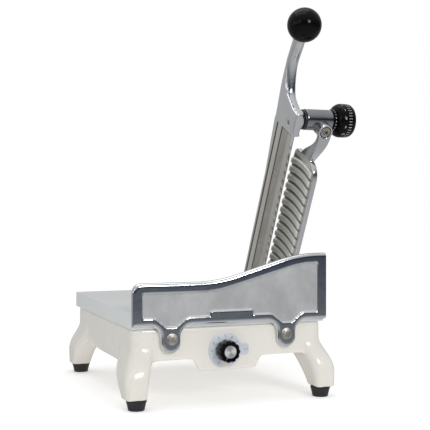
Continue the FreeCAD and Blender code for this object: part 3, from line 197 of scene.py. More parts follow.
def cuttingBoardPlastic(v):
    # knife cuts run from front to back, on the top face only
    f = Finish("cuttingBoardPlastic")
    cloud = f.noise(9, 3)
    grain = f.noise(120, 4, 0.6, f.scaled(f.place, (1.0, 0.08, 1.0)))
    cuts = f.noise(70, 5, 0.7, f.scaled(f.place, (1.0, 0.05, 1.0)), 0.6).above(0.66, 0.012)
    onTop = f.part(f.node("ShaderNodeNewGeometry", out="Normal"), 2).above(0.8, 0.1)
    colour = f.mix(cloud, v["dark"], v["pale"])
    colour = f.mix(cuts * onTop * 0.35, colour, v["cut"])
    normal = f.bump(grain - cuts * onTop * 0.8, 0.16, 0.0004)
    return f.surface(colour, v["rough"] + 0.16 * grain, 0.0, normal, Specular_IOR_Level=0.45)


polishedValues = {"dark": (0.70, 0.72, 0.75), "pale": (0.80, 0.815, 0.835), "pit": (0.30, 0.30, 0.31),
                  "ripple": 0.10, "rough": 0.05}
blockValues = {**polishedValues, "dark": (0.25, 0.258, 0.27), "pale": (0.38, 0.39, 0.40), "ripple": 0.45}


def polishedCasting(name, v):
    f = Finish(name)
    cloud = f.noise(30, 3)
    lines = f.noise(160, 4, 0.6, f.scaled(f.place, (1.0, 1.0, 0.12)))
    pits = f.noise(700, 2).above(0.74, 0.02)
    colour = f.mix(cloud, v["dark"], v["pale"])
    colour = f.mix(pits * 0.5, colour, v["pit"])
    wave = f.bump(f.noise(55, 2), v["ripple"], 0.0012)
    fine = f.bump(lines - pits, 0.06, 0.0002, wave)
    return f.surface(colour, v["rough"] + 0.06 * cloud + 0.04 * lines, 1.0, fine)


sandValues = {"dark": (0.55, 0.552, 0.55), "pale": (0.71, 0.712, 0.71), "grain": (0.22, 0.22, 0.215),
              "rough": 0.46, "metallic": 0.75}


def sandCasting(v):
    f = Finish("sandCasting")
    blotch = f.noise(34, 5, 0.62, f.scaled(f.place, (1.0, 1.0, 0.7)))
    grain = f.noise(900, 3, 0.6)
    sand = f.node("ShaderNodeTexVoronoi", {}, {"Vector": f.place, "Scale": 620.0})
    colour = f.mix(blotch.above(0.5, 0.22), v["dark"], v["pale"])
    colour = f.mix(grain * 0.3, colour, v["grain"])
    normal = f.bump(grain * 0.6 + sand * 0.4, 0.35, 0.0005)
    return f.surface(colour, v["rough"] + 0.16 * grain, v["metallic"], normal)


# places are in the arm's own frame: deep is to the right, across is to the spine, along is up the arm
armFaceValues = {
    "dark": (0.66, 0.67, 0.69), "pale": (0.76, 0.77, 0.79), "groove": (0.10, 0.09, 0.075),
    "stripDark": (0.66, 0.63, 0.58), "stripPale": (0.84, 0.80, 0.74), "rough": 0.08,
    "faceDeep": 0.11606, "grooveDeep": 0.1163, "stripTop": 0.2785, "headFrom": 0.2815,
    "grooveAcross": (0.001, 0.0205), "stripAcross": (0.0046, 0.0170),
}


def armFaceCasting(v):
    # left face of the arm: ledge, groove, ground strip, groove; polished all round, with painted shade in
    # the grooves
    f = Finish("armFaceCasting")
    local = f.turned(tuple(hinge), (armLean, 0, 0))
    across = f.part(local, 1)
    along = f.part(local, 2)
    deep = f.part(local, 0)
    belowHead = 1 - along.above(v["stripTop"], 0.0006)
    onFace = (1 - deep.above(v["faceDeep"], 0.00002)) * belowHead
    inGroove = deep.above(v["grooveDeep"], 0.0002) * belowHead * across.within(*v["grooveAcross"], 0.0002)
    strip = onFace * across.within(*v["stripAcross"], 0.0003)
    brushed = f.noise(220, 4, 0.65, f.scaled(local, (1.0, 1.0, 0.03)))
    cloud = f.noise(36, 4)
    colour = f.mix(cloud, v["dark"], v["pale"])
    colour = f.mix(strip, colour, f.mix(brushed, v["stripDark"], v["stripPale"]))
    # painted shade: the grooves are painted near black
    colour = f.mix(inGroove * (1 - strip), colour, v["groove"])
    rough = v["rough"] + 0.06 * cloud + 0.26 * strip + 0.38 * inGroove
    rough = rough + 0.07 * along.above(v["headFrom"], 0.003)
    wave = f.bump(f.noise(45, 2), 0.10, 0.0012)
    fine = f.bump(brushed, 0.10, 0.0002, wave)
    return f.surface(colour, rough, 1.0 - 0.45 * inGroove, fine)


gaugeFaceValues = {
    "dark": (0.60, 0.61, 0.63), "pale": (0.74, 0.75, 0.77), "fluteDark": (0.78, 0.77, 0.72),
    "flutePale": (0.93, 0.92, 0.87), "valleyShade": (0.085, 0.08, 0.055), "rough": 0.14,
    "faceDeep": 0.1417, "faceTop": 0.2515, "valleyDeep": 0.1403, "valleyTop": 0.2440, "rimAcross": -0.0567,
}


def gaugeCasting(v):
    # the valleys of the flutes carry painted shade, their crests and the rim are bright
    f = Finish("gaugeCasting")
    local = f.turned(tuple(hinge), (armLean, 0, 0))
    deep = f.part(local, 0)
    across = f.part(local, 1)
    along = f.part(local, 2)
    face = (1 - deep.above(v["faceDeep"], 0.00015)) * (1 - along.above(v["faceTop"], 0.0015))
    valley = deep.above(v["valleyDeep"], 0.0011) * face * (1 - along.above(v["valleyTop"], 0.0015))
    ribbed = face * across.above(v["rimAcross"], 0.0004)
    blotch = f.noise(60, 4, 0.6)
    grain = f.noise(800, 3, 0.6)
    metal = f.mix(blotch, v["dark"], v["pale"])
    flute = f.mix(blotch, v["fluteDark"], v["flutePale"])
    colour = f.mix(ribbed, metal, flute)
    # painted shade in the valleys of the flutes
    colour = f.mix(valley * across.above(v["rimAcross"], 0.0004) * 0.85, colour, v["valleyShade"])
    rough = v["rough"] + 0.08 * blotch + ribbed * 0.26
    normal = f.bump(grain * 0.5 + blotch, 0.16, 0.0005)
    return f.surface(colour, rough, 1.0 - 0.35 * ribbed, normal)


knifeValues = {"dark": (0.42, 0.41, 0.39), "pale": (0.54, 0.53, 0.51), "edgeDark": (0.60, 0.57, 0.52),
               "edgePale": (0.74, 0.715, 0.66), "stain": (0.20, 0.18, 0.15), "rough": 0.26,
               "edgeAcross": -0.0172}


def knifeSteel(v):
    # ground along its length, with a brighter bevel ground across
    f = Finish("knifeSteel")
    local = f.turned(tuple(hinge), (armLean, 0, 0))
    across = f.part(local, 1)
    bevel = 1 - across.above(v["edgeAcross"], 0.0002)
    along = f.noise(260, 4, 0.65, f.scaled(local, (1.0, 1.0, 0.03)))
    square = f.noise(300, 4, 0.65, f.scaled(local, (1.0, 0.05, 1.0)))
    stain = f.noise(28, 5, 0.65).above(0.56, 0.10)
    colour = f.mix(along, v["dark"], v["pale"])
    colour = f.mix(bevel, colour, f.mix(square, v["edgeDark"], v["edgePale"]))
    colour = f.mix(stain * 0.18, colour, v["stain"])
    normal = f.bump(along * (1 - bevel) + square * bevel, 0.12, 0.0002)
    return f.surface(colour, v["rough"] + 0.12 * along - 0.06 * bevel, 1.0, normal)


plainSteelValues = {"dark": (0.42, 0.38, 0.33), "pale": (0.62, 0.60, 0.57), "rough": 0.18}
boltSteelValues = {"dark": (0.32, 0.28, 0.23), "pale": (0.56, 0.53, 0.48), "rough": 0.18}
platedBoltValues = {"dark": (0.52, 0.47, 0.40), "pale": (0.80, 0.77, 0.71), "rough": 0.30}


def brightSteel(name, v):
    f = Finish(name)
    cloud = f.noise(160, 4, 0.6)
    scratch = f.noise(900, 3, 0.6, f.scaled(f.place, (1.0, 0.2, 1.0)))
    colour = f.mix(cloud.above(0.5, 0.2), v["dark"], v["pale"])
    return f.surface(colour, v["rough"] + 0.18 * cloud, 1.0, f.bump(scratch, 0.10, 0.0002))


brassValues = {"dark": (0.58, 0.42, 0.19), "pale": (0.74, 0.58, 0.30), "rough": 0.24}


def turnedBrass(v):
    f = Finish("turnedBrass")
    cloud = f.noise(120, 4)
    rings = f.noise(1400, 2, 0.5, f.scaled(f.place, (1.0, 0.02, 0.02)))
    colour = f.mix(cloud, v["dark"], v["pale"])
    return f.surface(colour, v["rough"] + 0.14 * rings, 1.0, f.bump(rings, 0.15, 0.0002))


rubberValues = {"dark": (0.010, 0.010, 0.012), "pale": (0.026, 0.026, 0.029), "dust": (0.075, 0.072, 0.068),
                "rough": 0.30}


def mouldedRubber(v):
    f = Finish("mouldedRubber")
    cloud = f.noise(130, 4)
    grain = f.noise(1500, 2)
    colour = f.mix(cloud, v["dark"], v["pale"])
    dust = f.noise(70, 4, 0.6).above(0.60, 0.08)
    colour = f.mix(dust * 0.25, colour, v["dust"])
    return f.surface(colour, v["rough"] + 0.18 * cloud, 0.0, f.bump(grain + cloud, 0.16, 0.0003))


phenolicValues = {"dark": (0.002, 0.002, 0.0022), "pale": (0.004, 0.004, 0.0045), "rough": 0.09,
                  "specular": 0.13}


def glossPhenolic(v):
    f = Finish("glossPhenolic")
    cloud = f.noise(24, 3)
    colour = f.mix(cloud, v["dark"], v["pale"])
    wave = f.bump(f.noise(60, 2), 0.04, 0.0008)
    smear = f.noise(45, 4, 0.6).above(0.55, 0.15)
    return f.surface(colour, v["rough"] + 0.08 * smear, 0.0, wave, Specular_IOR_Level=v["specular"])


plateValues = {"dark": (0.60, 0.635, 0.70), "pale": (0.68, 0.71, 0.765), "brushed": (0.50, 0.53, 0.60),
               "rough": 0.34, "metallic": 0.15}


def printedPlate(v):
    f = Finish("printedPlate")
    cloud = f.noise(90, 3)
    brushed = f.noise(600, 3, 0.6, f.scaled(f.place, (0.06, 1.0, 1.0)))
    colour = f.mix(cloud, v["dark"], v["pale"])
    colour = f.mix(brushed * 0.25, colour, v["brushed"])
    return f.surface(colour, v["rough"] + 0.10 * brushed, v["metallic"], f.bump(brushed, 0.06, 0.0001))


darkInkValues = {"colour": (0.03, 0.032, 0.045), "worn": (0.45, 0.47, 0.52), "rough": 0.42}
whiteInkValues = {"colour": (0.55, 0.55, 0.54), "worn": (0.2, 0.2, 0.2), "rough": 0.42}


def printInk(name, v):
    f = Finish(name)
    wear = f.noise(700, 3, 0.6).above(0.66, 0.05)
    return f.surface(f.mix(wear * 0.5, v["colour"], v["worn"]), v["rough"] + 0.1 * wear, 0.0,
                     f.bump(f.noise(1800, 2), 0.1, 0.0001))


spunValues = {"dark": (0.34, 0.34, 0.35), "pale": (0.97, 0.97, 0.98), "rough": 0.34, "metallic": 0.55}


def spunAluminium(v):
    # turned rings, with the bow-tie of light that crosses a spun face
    f = Finish("spunAluminium")
    local = f.turned(tuple(dialCentre))
    x = f.part(local, 0)
    z = f.part(local, 2)
    radius = (x * x + z * z) ** 0.5
    angle = f.node("ShaderNodeMath", {"operation": "ARCTAN2"}, [z, x])
    rings = (radius * 26000.0).math("SINE")
    fans = (angle * 2.0 + 1.1).math("SINE") * 0.5 + 0.5
    streaks = f.noise(9, 4, 0.7, f.node("ShaderNodeCombineXYZ", {}, [angle, 0.0, 0.0]))
    shine = fans * 0.75 + streaks * 0.25
    colour = f.mix(shine ** 1.6, v["dark"], v["pale"])
    return f.surface(colour, v["rough"] + 0.08 * streaks, v["metallic"], f.bump(rings, 0.10, 0.00006))


housingValues = {"dark": (0.03, 0.028, 0.026), "pale": (0.055, 0.05, 0.046), "rough": 0.38}


def controlPlastic(v):
    f = Finish("controlPlastic")
    cloud = f.noise(80, 3)
    return f.surface(f.mix(cloud, v["dark"], v["pale"]), v["rough"] + 0.12 * cloud, 0.0,
                     f.bump(f.noise(1100, 2), 0.12, 0.0002))


enamel = creamEnamel(enamelValues)
boardPlastic = cuttingBoardPlastic(slabValues)
polished = polishedCasting("polishedCasting", polishedValues)
blockMetal = polishedCasting("blockMetal", blockValues)
sandCast = sandCasting(sandValues)
armFace = armFaceCasting(armFaceValues)
gaugeFace = gaugeCasting(gaugeFaceValues)
knifeFinish = knifeSteel(knifeValues)
boltSteel = brightSteel("boltSteel", boltSteelValues)
platedBolt = brightSteel("platedBolt", platedBoltValues)
plainSteel = brightSteel("plainSteel", plainSteelValues)
brass = turnedBrass(brassValues)
rubber = mouldedRubber(rubberValues)
phenolic = glossPhenolic(phenolicValues)
plateFoil = printedPlate(plateValues)
darkInk = printInk("darkInk", darkInkValues)
whiteInk = printInk("whiteInk", whiteInkValues)
spunCap = spunAluminium(spunValues)
housing = controlPlastic(housingValues)
print("finishes:", len(bpy.data.materials))


# making pieces

edgeValues = {"mergeWithin": 0.01 * mm, "flatWithin": 1.2, "segments": 2, "sharpFrom": 35,
              "shadeSharpFrom": 32}


def newPiece(name, mesh):
    piece = bpy.data.objects.new(name, mesh)
    bpy.context.scene.collection.objects.link(piece)
    return piece


def pieceFrom(name, build):
    build.normal_update()
    mesh = bpy.data.meshes.new(name)
    build.to_mesh(mesh)
    build.free()
    return newPiece(name, mesh)


def smoothed(piece, angle=edgeValues["shadeSharpFrom"]):
    # shaded smooth, apart from edges sharper than the angle in degrees
    piece.data.polygons.foreach_set("use_smooth", [True] * len(piece.data.polygons))
    piece.data.set_sharp_from_angle(angle=math.radians(angle))
    return piece


def baked(piece):
    # the piece with its modifiers worked in
    seen = bpy.context.evaluated_depsgraph_get()
    mesh = bpy.data.meshes.new_from_object(piece.evaluated_get(seen))
    piece.modifiers.clear()
    old = piece.data
    piece.data = mesh
    bpy.data.meshes.remove(old)
    mesh.name = piece.name
    return piece


def cadCopy(name, node):
    # the node's own mesh, its loose triangles joined up
    build = bmesh.new()
    build.from_mesh(nodes[node].data)
    bmesh.ops.remove_doubles(build, verts=build.verts, dist=edgeValues["mergeWithin"])
    piece = pieceFrom(name, build)
    piece.data.materials.clear()
    return piece


def bevelled(name, node, width):
    # a copy with its sharp edges broken
    piece = cadCopy(name, node)
    build = bmesh.new()
    build.from_mesh(piece.data)
    bmesh.ops.dissolve_limit(build, angle_limit=math.radians(edgeValues["flatWithin"]), verts=build.verts,
                             edges=build.edges)
    build.to_mesh(piece.data)
    build.free()
    bevel = piece.modifiers.new("edges", "BEVEL")
    bevel.width = width
    bevel.segments = edgeValues["segments"]
    bevel.limit_method = "ANGLE"
    bevel.angle_limit = math.radians(edgeValues["sharpFrom"])
    return smoothed(baked(piece))


def castCopy(name, node, voxel, rounds):
    # a copy with the soft edges and blended corners of a casting
    piece = cadCopy(name, node)
    remesh = piece.modifiers.new("cast", "REMESH")
    remesh.mode = "VOXEL"
    remesh.voxel_size = voxel
    remesh.use_smooth_shade = True
    settle = piece.modifiers.new("settle", "SMOOTH")
    settle.factor = 0.5
    settle.iterations = rounds
    return baked(piece)


def softenWhere(piece, test, rounds):
    # the corners of one region of a casting, worn rounder than the rest
    group = piece.vertex_groups.new(name="worn")
    group.add([v.index for v in piece.data.vertices if test(v.co)], 1.0, "REPLACE")
    settle = piece.modifiers.new("worn", "SMOOTH")
    settle.factor = 0.5
    settle.iterations = rounds
    settle.vertex_group = "worn"
    baked(piece)
    piece.vertex_groups.clear()
    return piece


def lathed(name, profile, place, steps=64):
    # a closed profile of (radius, height) points turned about z, then moved to its place
    build = bmesh.new()
    rings = []
    for turn in range(steps):
        angle = 2 * math.pi * turn / steps
        rings.append([build.verts.new((r * math.cos(angle), r * math.sin(angle), h)) for r, h in profile])
    count = len(profile)
    for turn, ring in enumerate(rings):
        after = rings[(turn + 1) % steps]
        for row in range(count - 1):
            build.faces.new((ring[row], after[row], after[row + 1], ring[row + 1]))
    bmesh.ops.remove_doubles(build, verts=build.verts, dist=0.000001)
    bmesh.ops.holes_fill(build, edges=[e for e in build.edges if e.is_boundary], sides=0)
    bmesh.ops.recalc_face_normals(build, faces=build.faces)
    build.transform(place)
    return smoothed(pieceFrom(name, build))


def dress(piece, body, finishes, stands):
    # its finishes, the body it rides on and the nodes it stands for
    piece.data.materials.clear()
    for finish in finishes:
        piece.data.materials.append(finish)
    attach(piece, body)
    if stands:
        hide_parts(*stands)
    return piece


def arcPoints(radius, start, stop, steps):
    # points of an arc about the origin, for a profile
    turns = [math.radians(start + (stop - start) * k / steps) for k in range(steps + 1)]
    return [(radius * math.cos(t), radius * math.sin(t)) for t in turns]


def inMillimetres(points):
    return [(r * mm, h * mm) for r, h in points]


# cast base and its feet

baseValues = {"voxel": 1.7 * mm, "smoothing": 18}
baseShell = castCopy("baseShell", "base_casting", baseValues["voxel"], baseValues["smoothing"])
dress(baseShell, "base", [enamel], ["base_casting"])

footValues = {"top": 11.35, "low": 9.0, "tall": 11.5, "recess": 5.0, "recessDeep": 5.0, "screw": 2.6}


def footProfile(v):
    return inMillimetres([
        (v["screw"], v["recessDeep"]), (v["recess"], v["recessDeep"]), (v["recess"], 0.5),
        (v["recess"] + 0.5, 0), (v["low"] - 0.8, 0), (v["low"] - 0.2, 0.25), (v["low"], 0.9),
        (v["low"] + 0.55, 3.4), (v["low"] + 1.45, 7.4), (v["top"] - 0.25, 9.2), (v["top"], 9.9),
        (v["top"] + 0.1, v["tall"] - 0.4), (v["top"] - 0.2, v["tall"]), (v["screw"], v["tall"]),
        (v["screw"], v["recessDeep"]),
    ])


for corner in ("front_left", "front_right", "rear_left", "rear_right"):
    low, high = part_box("foot_" + corner)
    middle = (low + high) / 2
    foot = lathed("foot_" + corner + "_rubber", footProfile(footValues),
                  Matrix.Translation((middle.x, middle.y, 0)), 48)
    dress(foot, "base", [rubber], ["foot_" + corner])
print("base and feet")

# board

boardValues = {"edge": 0.5 * mm}
board = bevelled("cuttingBoardSlab", "cutting_board", boardValues["edge"])
dress(board, "base", [boardPlastic], ["cutting_board"])

print("board")

# fence

fenceValues = {"voxel": 0.8 * mm, "smoothing": 2, "panelY": -0.1330, "panelWithin": 0.00035,
               "panelHalf": 0.1052}
fence = castCopy("fencePlate", "front_fence", fenceValues["voxel"], fenceValues["smoothing"])
dress(fence, "base", [polished, sandCast], ["front_fence"])
for face in fence.data.polygons:
    spot = face.center
    deep = abs(spot.y - fenceValues["panelY"]) < fenceValues["panelWithin"]
    if deep and face.normal.y < -0.9 and abs(spot.x) < fenceValues["panelHalf"]:
        face.material_index = 1
print("fence")


# screw heads, washers and print, from Geometry Nodes

def nodeInput(group, name, kind, value):
    socket = group.interface.new_socket(name=name, in_out="INPUT", socket_type=kind)
    socket.default_value = value


def runNodes(piece, group, values):
    modifier = piece.modifiers.new(group.name, "NODES")
    modifier.node_group = group
    for item in group.interface.items_tree:
        if item.item_type == "SOCKET" and item.in_out == "INPUT" and item.name in values:
            modifier[item.identifier] = values[item.name]
    return baked(piece)


def ringOfBars(name, material):
    # bars set round a circle about z, each pointing outwards
    group = bpy.data.node_groups.new(name, "GeometryNodeTree")
    group.interface.new_socket(name="Geometry", in_out="INPUT", socket_type="NodeSocketGeometry")
    nodeInput(group, "Count", "NodeSocketInt", 11)
    nodeInput(group, "Radius", "NodeSocketFloat", 0.015)
    nodeInput(group, "Length", "NodeSocketFloat", 0.0012)
    nodeInput(group, "Width", "NodeSocketFloat", 0.0004)
    nodeInput(group, "Thickness", "NodeSocketFloat", 0.0001)
    nodeInput(group, "First", "NodeSocketFloat", 0.0)
    nodeInput(group, "Step", "NodeSocketFloat", 0.5)
    group.interface.new_socket(name="Geometry", in_out="OUTPUT", socket_type="NodeSocketGeometry")
    t = Tree(group)
    source = group.nodes.new("NodeGroupInput")
    value = {s.name: Wire(t, s) for s in source.outputs if s.name}
    points = t.node("GeometryNodeMeshLine", {"mode": "OFFSET"}, {"Count": value["Count"]})
    index = t.node("GeometryNodeInputIndex")
    angle = value["First"] + index * value["Step"]
    spot = t.node("ShaderNodeCombineXYZ", {}, [angle.math("COSINE") * value["Radius"],
                                               angle.math("SINE") * value["Radius"], 0.0])
    points = t.node("GeometryNodeSetPosition", {}, {"Geometry": points, "Position": spot})
    size = t.node("ShaderNodeCombineXYZ", {}, [value["Length"], value["Width"], value["Thickness"]])
    bar = t.node("GeometryNodeMeshCube", {}, {"Size": size})
    turn = t.node("ShaderNodeCombineXYZ", {}, [0.0, 0.0, angle])
    turn = t.node("FunctionNodeEulerToRotation", {}, [turn])
    bars = t.node("GeometryNodeInstanceOnPoints", {}, {"Points": points, "Instance": bar, "Rotation": turn})
    solid = t.node("GeometryNodeRealizeInstances", {}, {"Geometry": bars})
    done = t.node("GeometryNodeSetMaterial", {}, {"Geometry": solid, "Material": material})
    sink = group.nodes.new("NodeGroupOutput")
    group.links.new(done.socket, sink.inputs[0])
    return group


def headsOnPoints(name, sides, material):
    # a screw head on a washer at each point of the mesh, facing +z
    group = bpy.data.node_groups.new(name, "GeometryNodeTree")
    group.interface.new_socket(name="Geometry", in_out="INPUT", socket_type="NodeSocketGeometry")
    nodeInput(group, "HeadRadius", "NodeSocketFloat", 0.0075)
    nodeInput(group, "HeadHeight", "NodeSocketFloat", 0.004)
    nodeInput(group, "WasherRadius", "NodeSocketFloat", 0.008)
    nodeInput(group, "WasherHeight", "NodeSocketFloat", 0.0010)
    nodeInput(group, "Seed", "NodeSocketInt", 4)
    group.interface.new_socket(name="Geometry", in_out="OUTPUT", socket_type="NodeSocketGeometry")
    t = Tree(group)
    source = group.nodes.new("NodeGroupInput")
    value = {s.name: Wire(t, s) for s in source.outputs if s.name}
    head = t.node("GeometryNodeMeshCylinder", {}, {"Vertices": sides, "Radius": value["HeadRadius"],
                                                   "Depth": value["HeadHeight"] * 0.8})
    crown = t.node("GeometryNodeMeshCone", {}, {"Vertices": 32, "Radius Top": value["HeadRadius"] * 0.72,
                   "Radius Bottom": value["HeadRadius"] * 0.88, "Depth": value["HeadHeight"] * 0.2})
    washer = t.node("GeometryNodeMeshCylinder", {}, {"Vertices": 48, "Radius": value["WasherRadius"],
                                                     "Depth": value["WasherHeight"]})

    def raised(shape, height):
        offset = t.node("ShaderNodeCombineXYZ", {}, [0.0, 0.0, height])
        return t.node("GeometryNodeTransform", {}, {"Geometry": shape, "Translation": offset})

    join = group.nodes.new("GeometryNodeJoinGeometry")
    for shape in (raised(head, value["WasherHeight"] + value["HeadHeight"] * 0.4),
                  raised(crown, value["WasherHeight"] + value["HeadHeight"] * 0.8),
                  raised(washer, value["WasherHeight"] * 0.5)):
        group.links.new(shape.socket, join.inputs[0])
    spin = t.node("FunctionNodeRandomValue", {"data_type": "FLOAT"},
                  {2: 0.0, 3: 1.0, "Seed": value["Seed"]}, out=1)
    turn = t.node("ShaderNodeCombineXYZ", {}, [0.0, 0.0, spin])
    turn = t.node("FunctionNodeEulerToRotation", {}, [turn])
    every = t.node("GeometryNodeInstanceOnPoints", {}, {"Points": Wire(t, source.outputs[0]),
                   "Instance": Wire(t, join.outputs[0]), "Rotation": turn})
    solid = t.node("GeometryNodeRealizeInstances", {}, {"Geometry": every})
    done = t.node("GeometryNodeSetMaterial", {}, {"Geometry": solid, "Material": material})
    sink = group.nodes.new("NodeGroupOutput")
    group.links.new(done.socket, sink.inputs[0])
    return group


def pointsPiece(name, spots):
    mesh = bpy.data.meshes.new(name)
    mesh.from_pydata(spots, [], [])
    return newPiece(name, mesh)


def bars(name, group, values, place, body, slot):
    piece = runNodes(pointsPiece(name, [(0, 0, 0)]), group, values)
    piece.data.transform(place)
    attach(piece, body)
    return piece


facingFront = Matrix.Rotation(math.radians(90), 4, "X")  # z of a flat piece turned to -y

boltValues = {"HeadRadius": 5.7 * mm, "HeadHeight": 3.6 * mm, "WasherRadius": 6.4 * mm,
              "WasherHeight": 0.5 * mm, "Seed": 4, "halfFlats": 5.0 * mm, "headEdge": 0.35 * mm,
              "shankEdge": 0.2 * mm, "shankSunk": 0.2 * mm}
boltLow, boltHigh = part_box("fence_bolts")
halfHead = boltValues["halfFlats"] / math.cos(math.radians(30))
boltZ = (boltLow.z + boltHigh.z) / 2
boltSpots = [(boltLow.x + halfHead, boltZ, 0), (boltHigh.x - halfHead, boltZ, 0)]
boltHeads = runNodes(pointsPiece("fenceBoltHeads", boltSpots), headsOnPoints("boltHeads", 6, platedBolt),
                     boltValues)
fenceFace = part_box("front_fence")[0].y
boltHeads.data.transform(Matrix.Translation((0, fenceFace, 0)) @ facingFront)
edge = boltHeads.modifiers.new("edge", "BEVEL")
edge.width = boltValues["headEdge"]
edge.segments = edgeValues["segments"]
dress(smoothed(baked(boltHeads)), "base", [platedBolt], ())
boltShanks = bevelled("fenceBoltShanks", "fence_bolts", boltValues["shankEdge"])
trim = bmesh.new()
trim.from_mesh(boltShanks.data)
bmesh.ops.bisect_plane(trim, geom=trim.verts[:] + trim.edges[:] + trim.faces[:], dist=1e-6,
                       plane_co=(0, fenceFace + boltValues["shankSunk"], 0), plane_no=(0, -1, 0),
                       clear_outer=True)
bmesh.ops.holes_fill(trim, edges=[e for e in trim.edges if e.is_boundary], sides=0)
trim.to_mesh(boltShanks.data)
trim.free()
dress(boltShanks, "base", [plainSteel], ["fence_bolts"])

print("fence bolts")

# rotary control on the front wall

dialValues = {
    "marks": 11, "firstAngle": 240, "stepAngle": -30, "numberRadius": 16.1 * mm, "numberSize": 3.3 * mm,
    "tickRadius": 13.9 * mm, "tickLength": 1.1 * mm, "tickWidth": 0.35 * mm, "tickThickness": 0.08 * mm,
    "minusAt": 23.2 * mm, "minusSize": 5.5 * mm, "plusAt": 26.2 * mm, "plusSize": 3.4 * mm,
    "edge": 0.15 * mm,
}
printThickness = 0.04 * mm
plate = bevelled("dialScalePlate", "dial_plate", dialValues["edge"])
dress(plate, "base", [plateFoil], ["dial_plate"])
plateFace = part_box("dial_plate")[0].y
onPlate = Matrix.Translation((dialCentre.x, plateFace, dialCentre.z)) @ facingFront
bars("dialTicks", ringOfBars("dialTickRing", darkInk),
     {"Count": dialValues["marks"], "Radius": dialValues["tickRadius"], "Length": dialValues["tickLength"],
      "Width": dialValues["tickWidth"], "Thickness": dialValues["tickThickness"],
      "First": math.radians(dialValues["firstAngle"]), "Step": math.radians(dialValues["stepAngle"])},
     onPlate, "base", "scale_print")


def lettering(name, words, material, body):
    # numbers as thin meshes: each is a text, its size and the matrix that places it
    build = bmesh.new()
    for text, size, place in words:
        curve = bpy.data.curves.new("word", "FONT")
        curve.body = text
        curve.size = size
        curve.align_x = "CENTER"
        curve.align_y = "CENTER"
        curve.extrude = printThickness
        holder = bpy.data.objects.new("word", curve)
        bpy.context.scene.collection.objects.link(holder)
        bpy.context.view_layer.update()
        seen = bpy.context.evaluated_depsgraph_get()
        mesh = bpy.data.meshes.new_from_object(holder.evaluated_get(seen))
        mesh.transform(place)
        build.from_mesh(mesh)
        bpy.data.objects.remove(holder)
        bpy.data.curves.remove(curve)
        bpy.data.meshes.remove(mesh)
    piece = pieceFrom(name, build)
    return dress(piece, body, [material], ())


dialWords = []
for mark in range(dialValues["marks"]):
    turn = math.radians(dialValues["firstAngle"] + dialValues["stepAngle"] * mark)
    spot = Vector((math.cos(turn), math.sin(turn), 0)) * dialValues["numberRadius"]
    dialWords.append((str(mark), dialValues["numberSize"], onPlate @ Matrix.Translation(spot)))
for sign, name in (("-", "minus"), ("+", "plus")):
    place = onPlate @ Matrix.Translation((dialValues[name + "At"], 0, 0))
    dialWords.append((sign, dialValues[name + "Size"], place))
lettering("dialNumbers", dialWords, darkInk, "base")

# a level is its share of the length, its share of the radius and its share of the flutes' depth
dialKnobValues = {
    "radius": 12.6 * mm, "flutes": 11, "fluteDepth": 1.15 * mm, "fluteSharpness": 2.2, "steps": 16,
    "levels": [(0.00, 0.97, 0.5), (0.04, 1.0, 0.8), (0.80, 0.965, 1.0), (0.93, 0.94, 0.9), (1.0, 0.86, 0.5)],
    "capRadius": 6.9 * mm, "capSunk": 0.3 * mm, "shadeSharpFrom": 40,
}
capValues = {"profile": [(0, -0.8), (6.9, -0.8), (6.9, -0.3), (6.5, -0.02), (6.0, -0.1), (0, -0.1)],
             "steps": 72}
pointerValues = {"radius": 9.2 * mm, "length": 3.2 * mm, "width": 0.7 * mm, "thickness": 0.1 * mm,
                 "sunk": 0.22 * mm}


def flutedKnob(name, v, low, high, place):
    # a stack of fluted outlines: a skirt at the back, then the grip and a chamfered rim
    length = high - low
    build = bmesh.new()
    count = v["flutes"] * v["steps"]
    rings = []
    for share, wide, flute in v["levels"]:
        ring = []
        for k in range(count):
            angle = 2 * math.pi * k / count
            wave = (0.5 - 0.5 * math.cos(v["flutes"] * angle)) ** v["fluteSharpness"]
            r = v["radius"] * wide - v["fluteDepth"] * flute * wave
            ring.append(build.verts.new((r * math.cos(angle), r * math.sin(angle), low + length * share)))
        rings.append(ring)
    inner = [build.verts.new((v["capRadius"] * math.cos(2 * math.pi * k / count),
                              v["capRadius"] * math.sin(2 * math.pi * k / count), high - v["capSunk"]))
             for k in range(count)]
    rings.append(inner)
    for lower, upper in zip(rings, rings[1:]):
        for k in range(count):
            build.faces.new((lower[k], lower[(k + 1) % count], upper[(k + 1) % count], upper[k]))
    build.faces.new(list(reversed(rings[0])))
    build.faces.new(rings[-1])
    build.transform(place)
    return smoothed(pieceFrom(name, build), v["shadeSharpFrom"])


knobLow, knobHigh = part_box("dial_knob")
onDial = Matrix.Translation((dialCentre.x, 0, dialCentre.z)) @ facingFront
dialGrip = flutedKnob("dialGrip", dialKnobValues, -knobHigh.y, -knobLow.y, onDial)
dress(dialGrip, "dial", [phenolic], ["dial_knob"])
capFace = Matrix.Translation((0, 0, -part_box("dial_cap")[0].y))
capDisc = lathed("dialCapDisc", inMillimetres(capValues["profile"]), onDial @ capFace, capValues["steps"])
dress(capDisc, "dial", [spunCap], ["dial_cap"])
bars("dialPointer", ringOfBars("dialPointerBar", whiteInk),
     {"Count": 1, "Radius": pointerValues["radius"], "Length": pointerValues["length"],
      "Width": pointerValues["width"], "Thickness": pointerValues["thickness"],
      "First": math.radians(dialValues["firstAngle"]), "Step": 0.0},
     onDial @ Matrix.Translation((0, 0, -knobLow.y - pointerValues["sunk"])), "dial", "black_plastic")
print("rotary control")

# knife arm

armValues = {"voxel": 0.85 * mm, "smoothing": 3, "headFrom": 0.2815, "headTo": 0.3862, "headSmoothing": 60,
             "knifeEdge": 0.12 * mm}
armShell = castCopy("armShell", "arm_casting", armValues["voxel"], armValues["smoothing"])
toArm = armFrame.inverted()


def onHead(spot):
    # cheek, boss and handle bar, but not the ball's seat
    local = toArm @ spot
    return armValues["headFrom"] < local.z < armValues["headTo"]


